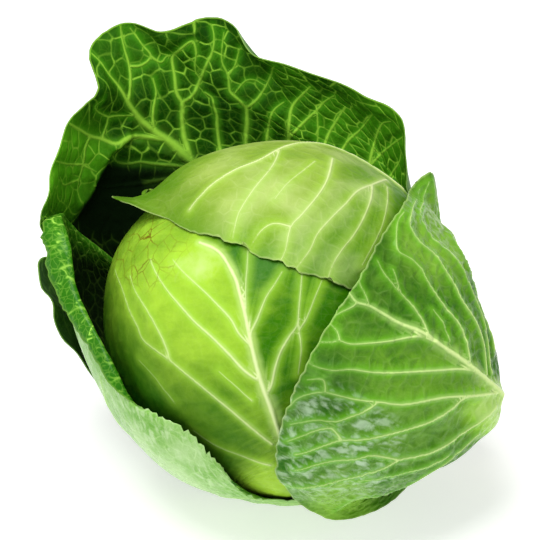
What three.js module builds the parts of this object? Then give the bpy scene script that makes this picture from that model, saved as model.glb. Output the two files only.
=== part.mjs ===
import * as THREE from 'three';

// A loose-wrapped white cabbage, cut at the stalk, lying on its side with the crown turned up.
// Units are millimetres. The finished group stands in a frame with +Z up, and its origin is the
// middle of the small flat that the lowest leaf has where it rests.
//
// Every leaf is laid out in the head's own frame: x to the right, y up the sloping front of
// the head and z straight out of that front. The whole head leans back by LEAN.

// ---- Driving dimensions ----
const LEAN = THREE.MathUtils.degToRad(57);
const CENTRE = new THREE.Vector3(4, -26, 0);
const STALK_AXIS = new THREE.Vector3(0.86, -0.33, -0.38).normalize();

const HEART_RADIUS = 80.2;
const LEAF_THICKNESS = 2.4;
const REST_DROP = 96.7;

const STALK_RADIUS = 15;
const STALK_CUT_RADIUS = 14;
const STALK_INNER_END = 81;
const STALK_CUT_END = 118;
const LEAF_BASE_RADIUS = 16.6;

// The right leaf stands off the head further up than down its free margin.
const RIGHT_UPPER_RADIUS = 97;
const RIGHT_MIDDLE_RADIUS = 94;
const RIGHT_LOWER_RADIUS = 95.5;

// How finely round pieces and leaf feet are divided.
const STALK_SIDES = 28;
const HEART_MERIDIANS = 30;
const HEART_PARALLELS = 16;
const FOOT_STEPS = 8;

// How far each close leaf's middle surface lies from the centre of the head.
const REAR_LEAF_RADIUS = 83.2;
const FRONT_LEAF_RADIUS = 87.2;
const WRAPPER_RADIUS = 90.8;
const LEFT_LEAF_RADIUS = 91.4;

const UP = new THREE.Vector3(0, Math.sin(LEAN), Math.cos(LEAN));
const FLOOR_HEIGHT = CENTRE.dot(UP) - REST_DROP;
const REST_POINT = CENTRE.clone().addScaledVector(UP, -REST_DROP);

// Angles round the stalk run from straight up the head's front, towards the front right.
const AROUND_UP = new THREE.Vector3(0, 1, 0).projectOnPlane(STALK_AXIS).normalize();
const AROUND_FRONT = new THREE.Vector3().crossVectors(STALK_AXIS, AROUND_UP);

// ---- Ways to place a point of a leaf ----
function outwards(degreesRound) {
  const angle = THREE.MathUtils.degToRad(degreesRound);
  const across = AROUND_FRONT.clone().multiplyScalar(Math.sin(angle));
  return across.addScaledVector(AROUND_UP, Math.cos(angle));
}

// A point at a leaf's foot, against the stalk.
function atStalk(degreesRound, alongStalk) {
  const foot = CENTRE.clone().addScaledVector(STALK_AXIS, alongStalk);
  return foot.addScaledVector(outwards(degreesRound), LEAF_BASE_RADIUS);
}

// A point on a ball round the head, an angle away from the stalk.
function awayFromStalk(degreesRound, degreesAway, radius) {
  const angle = THREE.MathUtils.degToRad(degreesAway);
  const direction = outwards(degreesRound).multiplyScalar(Math.sin(angle));
  direction.addScaledVector(STALK_AXIS, Math.cos(angle));
  return CENTRE.clone().addScaledVector(direction, radius);
}

// A point on a ball round the head, on its near side (z forward) or its far side.
function onBall(x, y, radius, side) {
  const flat = Math.hypot(x - CENTRE.x, y - CENTRE.y);
  const depth = Math.sqrt(Math.max(radius * radius - flat * flat, 0));
  return new THREE.Vector3(x, y, side * depth);
}

const near = (radius, points) => points.map(([x, y]) => onBall(x, y, radius, 1));
const far = (radius, points) => points.map(([x, y]) => onBall(x, y, radius, -1));
const free = (points) => points.map((point) => new THREE.Vector3(...point));

// ---- Leaf surfaces ----
// A knot is a direction from the head's centre and a distance, [x, y, z, distance]. Splining
// the two apart keeps a close leaf at an even distance, so that nested leaves stay clear.
function knotOf(point) {
  const arm = point.clone().sub(CENTRE);
  const distance = arm.length();
  return [arm.x / distance, arm.y / distance, arm.z / distance, distance];
}

function pointOf([x, y, z, distance]) {
  return new THREE.Vector3(x, y, z).multiplyScalar(distance).add(CENTRE);
}

function spline(knots, position) {
  const last = knots.length - 1;
  const index = Math.min(Math.floor(position), last - 1);
  const part = position - index;
  const b = knots[index];
  const c = knots[index + 1];
  const knot = b.map((value, axis) => {
    const before = index > 0 ? knots[index - 1][axis] : 2 * value - c[axis];
    const after = index + 2 <= last ? knots[index + 2][axis] : 2 * c[axis] - value;
    const square = 2 * before - 5 * value + 4 * c[axis] - after;
    const cube = 3 * (value - c[axis]) + after - before;
    return value + 0.5 * part * (c[axis] - before + part * (square + part * cube));
  });
  const size = Math.hypot(knot[0], knot[1], knot[2]);
  return [knot[0] / size, knot[1] / size, knot[2] / size, knot[3]];
}

// Turns each share of a path's length, 0 to 1, into a position along its knots.
function positionsByLength(lengths, count) {
  const sums = [0];
  for (const length of lengths) {
    sums.push(sums[sums.length - 1] + length);
  }
  const total = sums[sums.length - 1];
  return Array.from({ length: count + 1 }, (_, step) => {
    const target = (total * step) / count;
    let index = 0;
    while (index < lengths.length - 1 && sums[index + 1] < target) {
      index += 1;
    }
    return index + Math.min((target - sums[index]) / lengths[index], 1);
  });
}

function row(points, across) {
  const lengths = points.slice(1).map((point, index) => point.distanceTo(points[index]));
  const knots = points.map(knotOf);
  return positionsByLength(lengths, across).map((position) => spline(knots, position));
}

// A knot part of the way from one to another along the great circle between them.
function between(from, to, share, distance) {
  const start = new THREE.Vector3(...from);
  const end = new THREE.Vector3(...to);
  const angle = start.angleTo(end);
  start.multiplyScalar(Math.sin((1 - share) * angle) / Math.sin(angle));
  start.addScaledVector(end, Math.sin(share * angle) / Math.sin(angle));
  return [start.x, start.y, start.z, distance];
}

// A leaf springs from an arc round the stalk (foot), passes through rows at a share of the
// way to its first ring (body), then through its rings, the last of which is its margin.
// A body distance is one number, or five from the leaf's first side to its second.
// fill counts the even rows that are added before each ring.
function leafGrid({ foot, body, rings, fill = [], across, along }) {
  const [degreesRound, halfWidth, alongStalk] = foot;
  const arc = Array.from({ length: FOOT_STEPS + 1 }, (_, step) => (
    atStalk(degreesRound + halfWidth * ((2 * step) / FOOT_STEPS - 1), alongStalk)));
  const rows = [row(arc, across)];
  const laid = rings.map((ring) => row(ring, across));
  for (const [share, distance] of body) {
    const profile = [distance].flat().map((value) => [1, 0, 0, value]);
    rows.push(laid[0].map((knot, step) => {
      const position = ((profile.length - 1) * step) / across;
      const reach = profile.length > 1 ? spline(profile, position)[3] : distance;
      return between(rows[0][step], knot, share, reach);
    }));
  }
  laid.forEach((ring, index) => {
    const count = fill[index] ?? 0;
    for (let extra = 1; extra <= count; extra += 1) {
      const share = extra / (count + 1);
      const inner = laid[index - 1];
      rows.push(ring.map((knot, step) => {
        const distance = inner[step][3] + share * share * (knot[3] - inner[step][3]);
        return between(inner[step], knot, share, distance);
      }));
    }
    rows.push(ring);
  });
  const lengths = rows.slice(1).map((knots, index) => {
    const steps = knots.map((knot, step) => pointOf(knot).distanceTo(pointOf(rows[index][step])));
    return steps.reduce((sum, length) => sum + length, 0) / steps.length;
  });
  return positionsByLength(lengths, along).map((position) => (
    rows[0].map((_, step) => pointOf(spline(rows.map((knots) => knots[step]), position)))
  ));
}

// A leaf is soft, so it is pressed flat where it would sink below the resting plane.
function keepAbove(point, height) {
  const lift = FLOOR_HEIGHT + height - point.dot(UP);
  return lift > 0 ? point.clone().addScaledVector(UP, lift) : point;
}

function gridNormal(grid, i, j) {
  const lastRow = grid.length - 1;
  const lastColumn = grid[0].length - 1;
  const alongStep = grid[Math.min(i + 1, lastRow)][j].clone().sub(grid[Math.max(i - 1, 0)][j]);
  const acrossStep = grid[i][Math.min(j + 1, lastColumn)].clone().sub(grid[i][Math.max(j - 1, 0)]);
  return acrossStep.cross(alongStep).normalize();
}

// A closed shell, LEAF_THICKNESS through, on both sides of a grid of points.
function shellGeometry(grid) {
  const rowCount = grid.length;
  const columnCount = grid[0].length;
  const middle = grid[rowCount >> 1][columnCount >> 1];
  const middleNormal = gridNormal(grid, rowCount >> 1, columnCount >> 1);
  const flip = middleNormal.dot(middle.clone().sub(CENTRE)) > 0 ? 1 : -1;
  const sides = [1, -1].map((side) => grid.flatMap((line, i) => line.map((point, j) => {
    const offset = (flip * side * LEAF_THICKNESS) / 2;
    const moved = point.clone().addScaledVector(gridNormal(grid, i, j), offset);
    return keepAbove(moved, side > 0 ? 0 : LEAF_THICKNESS);
  })));
  const faces = [];
  const quad = (a, b, c, d) => {
    faces.push(a, b, c, a, c, d);
  };
  const innerStart = rowCount * columnCount;
  const at = (i, j) => i * columnCount + j;
  for (let i = 0; i < rowCount - 1; i += 1) {
    for (let j = 0; j < columnCount - 1; j += 1) {
      quad(at(i, j), at(i, j + 1), at(i + 1, j + 1), at(i + 1, j));
      quad(innerStart + at(i, j), innerStart + at(i + 1, j),
        innerStart + at(i + 1, j + 1), innerStart + at(i, j + 1));
    }
  }
  const border = [];
  for (let j = 0; j < columnCount - 1; j += 1) border.push(at(0, j));
  for (let i = 0; i < rowCount - 1; i += 1) border.push(at(i, columnCount - 1));
  for (let j = columnCount - 1; j > 0; j -= 1) border.push(at(rowCount - 1, j));
  for (let i = rowCount - 1; i > 0; i -= 1) border.push(at(i, 0));
  border.forEach((start, index) => {
    const end = border[(index + 1) % border.length];
    quad(start, innerStart + start, innerStart + end, end);
  });
  if (flip < 0) faces.reverse();
  const geometry = new THREE.BufferGeometry().setFromPoints(sides.flat());
  geometry.setIndex(faces);
  geometry.computeVertexNormals();
  return geometry;
}

// ---- The head ----
const cabbage = new THREE.Group();
cabbage.rotation.x = LEAN;
cabbage.position.copy(REST_POINT).applyEuler(cabbage.rotation).negate();

function addPiece(name, geometry, color, roughness) {
  const material = new THREE.MeshStandardMaterial({ color, roughness, metalness: 0 });
  const piece = new THREE.Mesh(geometry, material);
  piece.name = name;
  cabbage.add(piece);
  return piece;
}

function addLeaf(name, shape, color, roughness) {
  return addPiece(name, shellGeometry(leafGrid(shape)), color, roughness);
}

// The cut stalk that every leaf grows from.
const stalkLength = STALK_CUT_END - STALK_INNER_END;
const stalkBody = new THREE.CylinderGeometry(
  STALK_CUT_RADIUS, STALK_RADIUS, stalkLength, STALK_SIDES);
const stalk = addPiece('stalk', stalkBody, '#d9dca8', 0.6);
stalk.quaternion.setFromUnitVectors(new THREE.Vector3(0, 1, 0), STALK_AXIS);
stalk.position.copy(CENTRE).addScaledVector(STALK_AXIS, STALK_INNER_END + stalkLength / 2);

// The tight ball of folded leaves inside.
const heartBody = new THREE.SphereGeometry(HEART_RADIUS, HEART_MERIDIANS, HEART_PARALLELS);
addPiece('heart', heartBody, '#c9d98a', 0.5).position.copy(CENTRE);

// The head leaf that closes the ball at the back and underneath.
addLeaf('rear_head_leaf', {
  foot: [-90, -150, 82.5],
  body: [[0.35, REAR_LEAF_RADIUS], [0.7, REAR_LEAF_RADIUS]],
  rings: [
    [[52, 28], [20, 46], [-20, 56], [-60, 66], [-100, 70], [-140, 66], [-180, 54], [-215, 42],
      [-238, 28]].map(([turn, away]) => awayFromStalk(turn, away, REAR_LEAF_RADIUS)),
    near(REAR_LEAF_RADIUS, [[83, -10], [72, 15], [45, 42], [0, 54], [-40, 42], [-66, 15],
      [-77, -25], [-69, -60], [-40, -92], [5, -106], [45, -96], [75, -66]]),
  ],
  fill: [0, 2],
  across: 26,
  along: 12,
}, '#9dc63a', 0.42);

// The head leaf that closes the ball in front and laps over the crown.
addLeaf('front_head_leaf', {
  foot: [100, 70, 86.5],
  body: [[0.3, FRONT_LEAF_RADIUS], [0.65, FRONT_LEAF_RADIUS]],
  rings: [
    [-12, 15, 45, 75, 105, 135, 165, 190].map((turn) => (
      awayFromStalk(turn, 88, FRONT_LEAF_RADIUS))),
    far(FRONT_LEAF_RADIUS, [[-28, 50], [-56, 32], [-74, 8], [-78, -20], [-72, -50],
      [-50, -84], [-18, -102]]),
  ],
  fill: [0, 2],
  across: 20,
  along: 20,
}, '#98cf2a', 0.35);

// The pale wrapper leaf over the top, its tip curled up at the left.
addLeaf('top_wrapper_leaf', {
  foot: [20, -60, 90],
  body: [],
  rings: [
    [...near(WRAPPER_RADIUS, [[80, -38], [88, 0]]), ...far(WRAPPER_RADIUS, [[82, -12]])],
    [...near(WRAPPER_RADIUS, [[52, -16], [62, 20], [66, 38]]),
      ...far(WRAPPER_RADIUS, [[64, 16]])],
    [...near(WRAPPER_RADIUS, [[27, -6], [38, 32], [44, 52]]),
      ...far(WRAPPER_RADIUS, [[42, 38]])],
    [...near(WRAPPER_RADIUS, [[2, 3], [10, 38], [14, 62]]), ...far(WRAPPER_RADIUS, [[12, 50]])],
    [...near(WRAPPER_RADIUS, [[-25, 15], [-20, 42], [-20, 60]]),
      ...far(WRAPPER_RADIUS, [[-18, 53]])],
    [...near(WRAPPER_RADIUS, [[-42.5, 20], [-42, 40], [-42, 50]]),
      ...far(WRAPPER_RADIUS, [[-42, 48]])],
    [...near(WRAPPER_RADIUS, [[-54, 28], [-57, 34], [-59, 38]]),
      ...far(WRAPPER_RADIUS, [[-56, 40]])],
    free([[-66, 33.5, 35], [-68, 35, 28], [-68, 36.5, 18], [-63, 38, 5]]),
    free([[-76, 36.5, 25], [-78, 38.5, 20], [-77, 38.5, 14], [-73, 38, 8]]),
  ],
  across: 14,
  along: 18,
}, '#a9cc5c', 0.5);

// The left outer leaf cups the head from below and its margin rolls outward at the left.
addLeaf('left_outer_leaf', {
  foot: [235, 55, 93],
  body: [[0.35, LEFT_LEAF_RADIUS], [0.7, LEFT_LEAF_RADIUS]],
  rings: [
    [[168, 48], [180, 62], [200, 74], [220, 80], [240, 80], [258, 70], [270, 55]].map(
      ([turn, away]) => awayFromStalk(turn, away, LEFT_LEAF_RADIUS)),
    [...near(LEFT_LEAF_RADIUS, [[45, -106], [15, -114.5]]),
      ...free([[-10, -111, 32], [-25, -96, 52], [-40, -82, 60], [-58, -74, 54],
        [-70, -66, 46], [-80, -50, 40], [-90, -32, 30], [-99, -10, 20], [-104, 10, 12],
        [-104, 23, -1], [-98, 18, -20], [-82, 4, -42], [-58, -14, -62], [-22, -46, -84]])],
    [...near(LEFT_LEAF_RADIUS, [[46, -103], [16, -113]]),
      ...free([[-10, -112, 31], [-26, -93, 54], [-39, -77.5, 63], [-56, -69, 56],
        [-66, -66, 47], [-76, -50, 46], [-85, -32, 40], [-97, -8, 28], [-100, 14, 22],
        [-106, 27, 4], [-101, 22, -17], [-84, 8, -40], [-60, -11, -61], [-23, -44, -85]])],
    [...near(LEFT_LEAF_RADIUS, [[47, -101.5], [16, -112]]),
      ...free([[-9.5, -112, 30.5], [-27, -91.5, 55], [-39, -76, 64], [-57, -67.5, 57],
        [-71, -64, 50], [-84, -50, 44], [-92, -36, 36], [-108, -10, 24], [-115, 16, 16],
        [-111, 26, 8], [-103, 24, -15], [-85, 10, -39], [-61, -9, -60], [-23, -42, -85]])],
  ],
  fill: [0, 2, 0, 0],
  across: 30,
  along: 15,
}, '#5f9e36', 0.45);

// The lower back outer leaf lies under the head, and the head rests on it.
addLeaf('lower_back_outer_leaf', {
  foot: [228, 50, 101],
  body: [[0.2, 97.5], [0.45, [97.5, 97.5, 98.5, 99.5, 98]], [0.7, [97.5, 98, 105, 109, 103]]],
  rings: [free([[62, -96, -36], [15, -117, -36], [-29, -109, -38], [-61, -88, -35],
    [-84, -61, -30], [-95, -45, -27], [-104, -33.5, -26], [-108.5, -25, -26],
    [-110.8, -15.5, -27], [-116.5, -8, -30], [-118, 4, -35], [-112, 6, -46],
    [-102, -6, -57], [-84, -26, -70]])],
  across: 28,
  along: 14,
}, '#2f6d1c', 0.5);

// The back outer leaf stands up behind the head and opens towards the front.
addLeaf('back_outer_leaf', {
  foot: [-35, -50, 108],
  body: [[0.2, 102], [0.4, [99, 99, 99, 101, 103]], [0.62, [101, 101, 101, 102, 104]]],
  rings: [
    free([[74, 5, -62], [64, 40, -60], [58, 58, -57], [42, 68, -58], [10, 76, -64],
      [-20, 84, -68], [-50, 82, -66], [-74, 64, -56], [-90, 44, -46], [-99, 18, -42],
      [-86, -6, -62]]),
    free([[68.5, 42, -38], [69.5, 59.5, -34], [66, 78.5, -34], [46.5, 90, -38],
      [24.5, 99.5, -42], [-6, 109, -46], [-20.5, 124.5, -46], [-34, 128.5, -46],
      [-56, 121, -44], [-73, 126, -42], [-87, 118.5, -34], [-92, 109.5, -28],
      [-87.5, 92.5, -20], [-94, 83.5, -14], [-101.5, 73, -6], [-109, 51, 4],
      [-111.5, 39, 14], [-114.5, 31, 14], [-115, 20, -14], [-100, 2, -48]]),
  ],
  across: 34,
  along: 12,
}, '#3c7f1e', 0.45);

// The right outer leaf wraps the right of the head. Its thick rib bows out near the stalk.
addLeaf('right_outer_leaf', {
  foot: [110, 50, 108],
  body: [[0.18, [102, 106, 118, 110, 101]], [0.4, [97, 100, 111, 104, 99]],
    [0.62, [96, 98, 102, 100, 100]], [0.82, [96, 96, 97, 99, 101]]],
  rings: [[...free([[96, -22, -34], [92, 8, -34], [86, 34, -22], [82.5, 50, -4]]),
    ...near(RIGHT_UPPER_RADIUS, [[71.5, 43], [65, 32.5], [54, 16], [45, 1], [39.5, -9]]),
    ...near(RIGHT_MIDDLE_RADIUS, [[29.5, -22.5], [19, -41], [12.5, -53.5], [8, -64], [4, -76]]),
    ...near(RIGHT_LOWER_RADIUS, [[2, -90], [2, -99], [6, -107], [12, -115]]),
    ...free([[24, -122.5, 20], [31, -125, 12], [48, -122.5, 2], [66, -113, -8],
      [79, -97, -26], [86, -82, -36]])]],
  across: 32,
  along: 11,
}, '#6fae3a', 0.35);

export default cabbage;
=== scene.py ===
from functools import partial
import math

import bpy
import numpy as np
from mathutils.kdtree import KDTree
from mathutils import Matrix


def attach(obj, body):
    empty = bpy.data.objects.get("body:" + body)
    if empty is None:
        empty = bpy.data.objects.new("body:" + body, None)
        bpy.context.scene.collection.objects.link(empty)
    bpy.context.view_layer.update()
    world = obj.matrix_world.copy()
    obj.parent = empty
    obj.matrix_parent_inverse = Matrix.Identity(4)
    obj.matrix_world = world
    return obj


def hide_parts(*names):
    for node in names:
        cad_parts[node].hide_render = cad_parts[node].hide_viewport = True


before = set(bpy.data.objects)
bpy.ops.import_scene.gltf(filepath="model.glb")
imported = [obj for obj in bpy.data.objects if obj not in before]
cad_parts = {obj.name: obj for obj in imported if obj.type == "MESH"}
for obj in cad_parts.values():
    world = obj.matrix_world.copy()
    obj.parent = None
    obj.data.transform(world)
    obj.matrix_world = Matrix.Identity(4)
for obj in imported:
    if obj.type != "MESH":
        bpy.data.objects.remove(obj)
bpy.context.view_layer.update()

# ---- Stalk ----
# The woody stump that every leaf grows from, sliced across with a knife.
# The slice shows wet pale pith inside a ring of strings, and its rim has dried brown.
LEAN = math.radians(57)                      # the head leans back this far from lying face up
CENTRE = np.array([4.0, -26.0, 0.0])         # middle of the head, mm
REST_DROP = 96.7                             # from that middle down to the table, mm
STALK_AXIS = np.array([0.86, -0.33, -0.38])
STALK_AXIS /= np.linalg.norm(STALK_AXIS)
STALK_START, STALK_CUT = 81.0, 118.0         # along the axis from the middle of the head, mm
STALK_RADIUS, STALK_CUT_RADIUS = 15.0, 14.0
STALK_SIDES = 112
UP = np.array([0.0, math.sin(LEAN), math.cos(LEAN)])
AROUND_UP = np.array([0.0, 1.0, 0.0]) - STALK_AXIS * STALK_AXIS[1]
AROUND_UP /= np.linalg.norm(AROUND_UP)
AROUND_FRONT = np.cross(STALK_AXIS, AROUND_UP)


def to_table(points):
    """Turns millimetres in the head's own frame into metres on the table."""
    x, y, z = (np.asarray(points) - (CENTRE - REST_DROP * UP)).T
    across, rise = y * math.cos(LEAN) - z * math.sin(LEAN), y * math.sin(LEAN) + z * math.cos(LEAN)
    return np.stack([x, across, rise], -1) / 1000


def linear(hex_colour):
    """An sRGB hex colour as linear RGBA."""
    parts = [int(hex_colour[place:place + 2], 16) / 255 for place in (1, 3, 5)]
    return [part / 12.92 if part < 0.04045 else ((part + 0.055) / 1.055) ** 2.4 for part in parts] + [1]


def add_node(tree, kind, inputs=(), **settings):
    """Adds one node with its settings. Its inputs, by name or in the order it shows them, are set
    or linked, and another node stands for the first output that it shows."""
    node = tree.nodes.new("ShaderNode" + kind)
    for name, value in settings.items():
        setattr(node, name, value)
    if not isinstance(inputs, dict):
        inputs = dict(zip((place for place, socket in enumerate(node.inputs) if socket.enabled), inputs))
    for name, value in inputs.items():
        if isinstance(value, bpy.types.Node):
            value = next(socket for socket in value.outputs if socket.enabled)
        if isinstance(value, bpy.types.NodeSocket):
            tree.links.new(value, node.inputs[name])
        else:
            node.inputs[name].default_value = value
    return node


def new_finish(name):
    """An empty material, and the call that puts nodes into it."""
    finish = bpy.data.materials.new(name)
    finish.use_nodes = True
    finish.node_tree.nodes.clear()
    return finish, partial(add_node, finish.node_tree)


WAVES = 9       # waves in a swell: enough that it doesn't repeat to the eye


def swell(points, size, seed):
    """Smooth, even noise from -1 to 1 at points, about size millimetres from crest to crest."""
    draw = np.random.default_rng(seed)
    waves = draw.normal(size=(WAVES, 3))
    waves *= (2 * math.pi / size * draw.uniform(0.7, 1.4, WAVES) / np.linalg.norm(waves, axis=1))[:, None]
    return np.sin(points @ waves.T + draw.uniform(0, 6.28, WAVES)).sum(-1) / (WAVES / 2)


def add_mesh(name, points, faces, marks):
    """A smooth mesh on the table, with its marks stored as vectors at its points."""
    mesh = bpy.data.meshes.new(name)
    mesh.from_pydata(to_table(points).tolist(), [], faces)
    mesh.shade_smooth()
    for mark, values in marks.items():
        mesh.attributes.new(mark, "FLOAT_VECTOR", "POINT").data.foreach_set(
            "vector", np.ascontiguousarray(values, dtype=np.float32).ravel())
    piece = bpy.data.objects.new(name, mesh)
    bpy.context.scene.collection.objects.link(piece)
    return piece


def smooth(value, low, high):
    """Eases from 0 at low to 1 at high."""
    share = np.clip((value - low) / (high - low), 0, 1)
    return share * share * (3 - 2 * share)


# mm: the smallest ring at each end, the rounding at the rim, how deep the slice is dished, and what
# the woody side has shrunk.
END_RING, RIM_ROUND, SLICE_DISH, SHRUNK = 0.4, 1.2, 0.9, 0.35
# The profile runs from the middle of the hidden end, along the side, and in over the slice.
run = np.vstack([
    np.linspace((STALK_START, END_RING), (STALK_START, STALK_RADIUS), 8),
    np.linspace((STALK_START, STALK_RADIUS), (STALK_CUT - RIM_ROUND, STALK_CUT_RADIUS), 26),
    [(STALK_CUT - 0.5, STALK_CUT_RADIUS - 0.2), (STALK_CUT, STALK_CUT_RADIUS - 0.9)],
    [(STALK_CUT - SLICE_DISH * smooth(13.1 - radius, 0, 9), radius)
     for radius in np.linspace(12.4, END_RING, 26)]])
turns = np.linspace(0, 2 * math.pi, STALK_SIDES, endpoint=False)
spokes = np.cos(turns)[:, None] * AROUND_UP + np.sin(turns)[:, None] * AROUND_FRONT
stalk_points = CENTRE + run[:, None, :1] * STALK_AXIS + run[:, None, 1:] * spokes
on_side = smooth(run[:, 1], 8, 13)[:, None]
dents = 0.45 * swell(stalk_points, 11, 3) + 0.18 * swell(stalk_points, 3, 4) - SHRUNK
stalk_points += (dents * on_side)[..., None] * spokes
stalk_points += (0.12 * swell(stalk_points, 2.6, 5) * (run[:, :1] > STALK_CUT - 1))[..., None] * STALK_AXIS
stalk_points = stalk_points.reshape(-1, 3)
stalk_faces = [(ring * STALK_SIDES + side, ring * STALK_SIDES + (side + 1) % STALK_SIDES,
                (ring + 1) * STALK_SIDES + (side + 1) % STALK_SIDES, (ring + 1) * STALK_SIDES + side)
               for ring in range(len(run) - 1) for side in range(STALK_SIDES)]
stalk_faces += [tuple(range(STALK_SIDES))[::-1],
                tuple(range((len(run) - 1) * STALK_SIDES, len(run) * STALK_SIDES))]
slice_place = np.repeat(np.stack([run[:, 1], run[:, 0], run[:, 0] * 0], -1), STALK_SIDES, axis=0)
stalk = add_mesh("stalk_stump", stalk_points, stalk_faces, {"slice": slice_place})

# Sliced cabbage stalk: wet, slightly glossy pith, with fibres that show as dots round the ring.
# From the middle of the slice to its rim: pith, the ring of strings, and the drying skin, mm out of 17.5.
FIBRE_SPACING, PITH_BLOTCH, RING_WANDER, RING_REACH = 1.1, 6.0, 3.4, 17.5
SLICE_COLOURS = ((0.0, "#E9E6C4"), (0.42, "#E4E3B4"), (0.62, "#C6CE8B"), (0.72, "#E1DFAE"),
                 (0.84, "#CDC68A"), (0.92, "#8F7B45"))
sliced_stalk, put = new_finish("sliced cabbage stalk, drying pith")
place = put("SeparateXYZ", [put("Attribute", attribute_name="slice").outputs["Vector"]])
room = put("TexCoord").outputs["Object"]
fibre = put("TexVoronoi", {"Vector": room, "Scale": 1000 / FIBRE_SPACING}, feature="F1")
mottle = put("TexNoise", {"Vector": room, "Scale": 1000 / PITH_BLOTCH, "Detail": 5.0})
ragged = put("Math", (mottle, RING_WANDER, place.outputs[0]), operation="MULTIPLY_ADD")
rings = put("ValToRGB", [put("Math", (ragged, RING_REACH), operation="DIVIDE")])
for position, colour in SLICE_COLOURS:
    rings.color_ramp.elements.new(position).color = linear(colour)
rings.color_ramp.elements.remove(rings.color_ramp.elements[0])
dots = put("MapRange", (fibre, 0.1, 0.45, 0.4, 0.0))
pith = put("Mix", (dots, rings, linear("#9DA45A")), data_type="RGBA")
skin = put("Mix", (mottle, linear("#A9B86A"), linear("#D8DDA6")), data_type="RGBA")
at_slice = put("MapRange", (place.outputs[1], STALK_CUT - 1.6, STALK_CUT - 0.9))
colour = put("Mix", (at_slice, skin, pith), data_type="RGBA")
grain = put("Bump", {"Height": fibre, "Strength": 0.35, "Distance": 0.0004})
put("OutputMaterial", [put("BsdfPrincipled", {"Base Color": colour, "Roughness": 0.48, "IOR": 1.42,
                                              "Normal": grain})])
stalk.data.materials.append(sliced_stalk)
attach(stalk, "root")
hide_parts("stalk")

# ---- Heart ----
# The tight ball of folded white leaves inside, which the head leaves close over.
# Only its colour matters, where a sliver shows between two leaves.
FOLD_SPACING, HEART_BLOTCH = 90, 20     # mm
folded_heart, put = new_finish("folded heart leaves, waxy")
room = put("TexCoord").outputs["Object"]
folds = put("TexWave", {"Vector": room, "Scale": 1000 / FOLD_SPACING, "Distortion": 6.0, "Detail": 2.0})
mottle = put("TexNoise", {"Vector": room, "Scale": 1000 / HEART_BLOTCH, "Detail": 6.0})
mixed = put("Math", (folds.outputs["Fac"], mottle), operation="MULTIPLY")
colour = put("Mix", (mixed, linear("#9DB85E"), linear("#DDE6A8")), data_type="RGBA")
grain = put("Bump", {"Height": mixed, "Strength": 0.5, "Distance": 0.001})
put("OutputMaterial", [put("BsdfPrincipled", {"Base Color": colour, "Roughness": 0.5, "IOR": 1.42,
                                              "Normal": grain})])
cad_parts["heart"].data.materials.clear()
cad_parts["heart"].data.materials.append(folded_heart)

# ---- Rear head leaf ----
# The pale leaf that closes the head at the back and underneath, mostly covered by the others.
# Like every leaf it springs from an arc round the stalk and runs out through rows to its margin.
LEAF_BASE_RADIUS = 16.6
VIEW_DISTANCE = 2400.0      # vein courses are drawn as seen from this far in front, mm


def outwards(degrees_round):
    """Unit directions square to the stalk, from straight up towards the front right."""
    angle = np.radians(degrees_round)[..., None]
    return np.cos(angle) * AROUND_UP + np.sin(angle) * AROUND_FRONT


def away_from_stalk(places, radius):
    """Points on a ball round the head, from (angle round, angle away from the stalk) pairs."""
    turn, away = np.array(places, float).T
    away = np.radians(away)[:, None]
    return CENTRE + radius * (np.cos(away) * STALK_AXIS + np.sin(away) * outwards(turn))


def on_ball(radius, places, side):
    """Points on the near (1) or far (-1) half of a ball round the head, from x and y."""
    flat = np.array(places, float)
    depth = np.sqrt(np.maximum(radius ** 2 - ((flat - CENTRE[:2]) ** 2).sum(1), 0))
    return np.column_stack([flat, side * depth])


def near(radius, places):
    return on_ball(radius, places, 1)


def far(radius, places):
    return on_ball(radius, places, -1)


def free(*places):
    return np.array(places, float)


def spline(knots, positions):
    """Reads a Catmull-Rom spline through knots, whose first three numbers are a direction."""
    last = len(knots) - 1
    index = np.minimum(positions.astype(int), last - 1)
    part = (positions - index).reshape((-1,) + (1,) * (knots.ndim - 1))
    padded = np.concatenate([2 * knots[:1] - knots[1:2], knots, 2 * knots[-1:] - knots[-2:-1]])
    a, b, c, d = (padded[index + step] for step in range(4))
    found = b + 0.5 * part * (c - a + part * (2 * a - 5 * b + 4 * c - d + part * (3 * (b - c) + d - a)))
    found[..., :3] /= np.linalg.norm(found[..., :3], axis=-1, keepdims=True)
    return found


def by_length(lengths, count):
    """Positions along knots at even shares of the path's length."""
    sums = np.concatenate([[0], np.cumsum(lengths)])
    return np.interp(np.linspace(0, sums[-1], count + 1), sums, np.arange(len(sums)))


def laid_row(points, across):
    """A row of knots: each is a direction from the head's middle and a distance."""
    arm = points - CENTRE
    distance = np.linalg.norm(arm, axis=1, keepdims=True)
    lengths = np.linalg.norm(np.diff(points, axis=0), axis=1)
    return spline(np.hstack([arm / distance, distance]), by_length(lengths, across))


def between(start, end, share, distance):
    """Knots part of the way from one row to another, along great circles."""
    angle = np.arccos(np.clip((start[:, :3] * end[:, :3]).sum(1, keepdims=True), -1, 1))
    arm = (np.sin((1 - share) * angle) * start[:, :3] + np.sin(share * angle) * end[:, :3]) / np.sin(angle)
    return np.hstack([arm, np.broadcast_to(np.reshape(distance, (-1, 1)), (len(arm), 1))])


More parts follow.
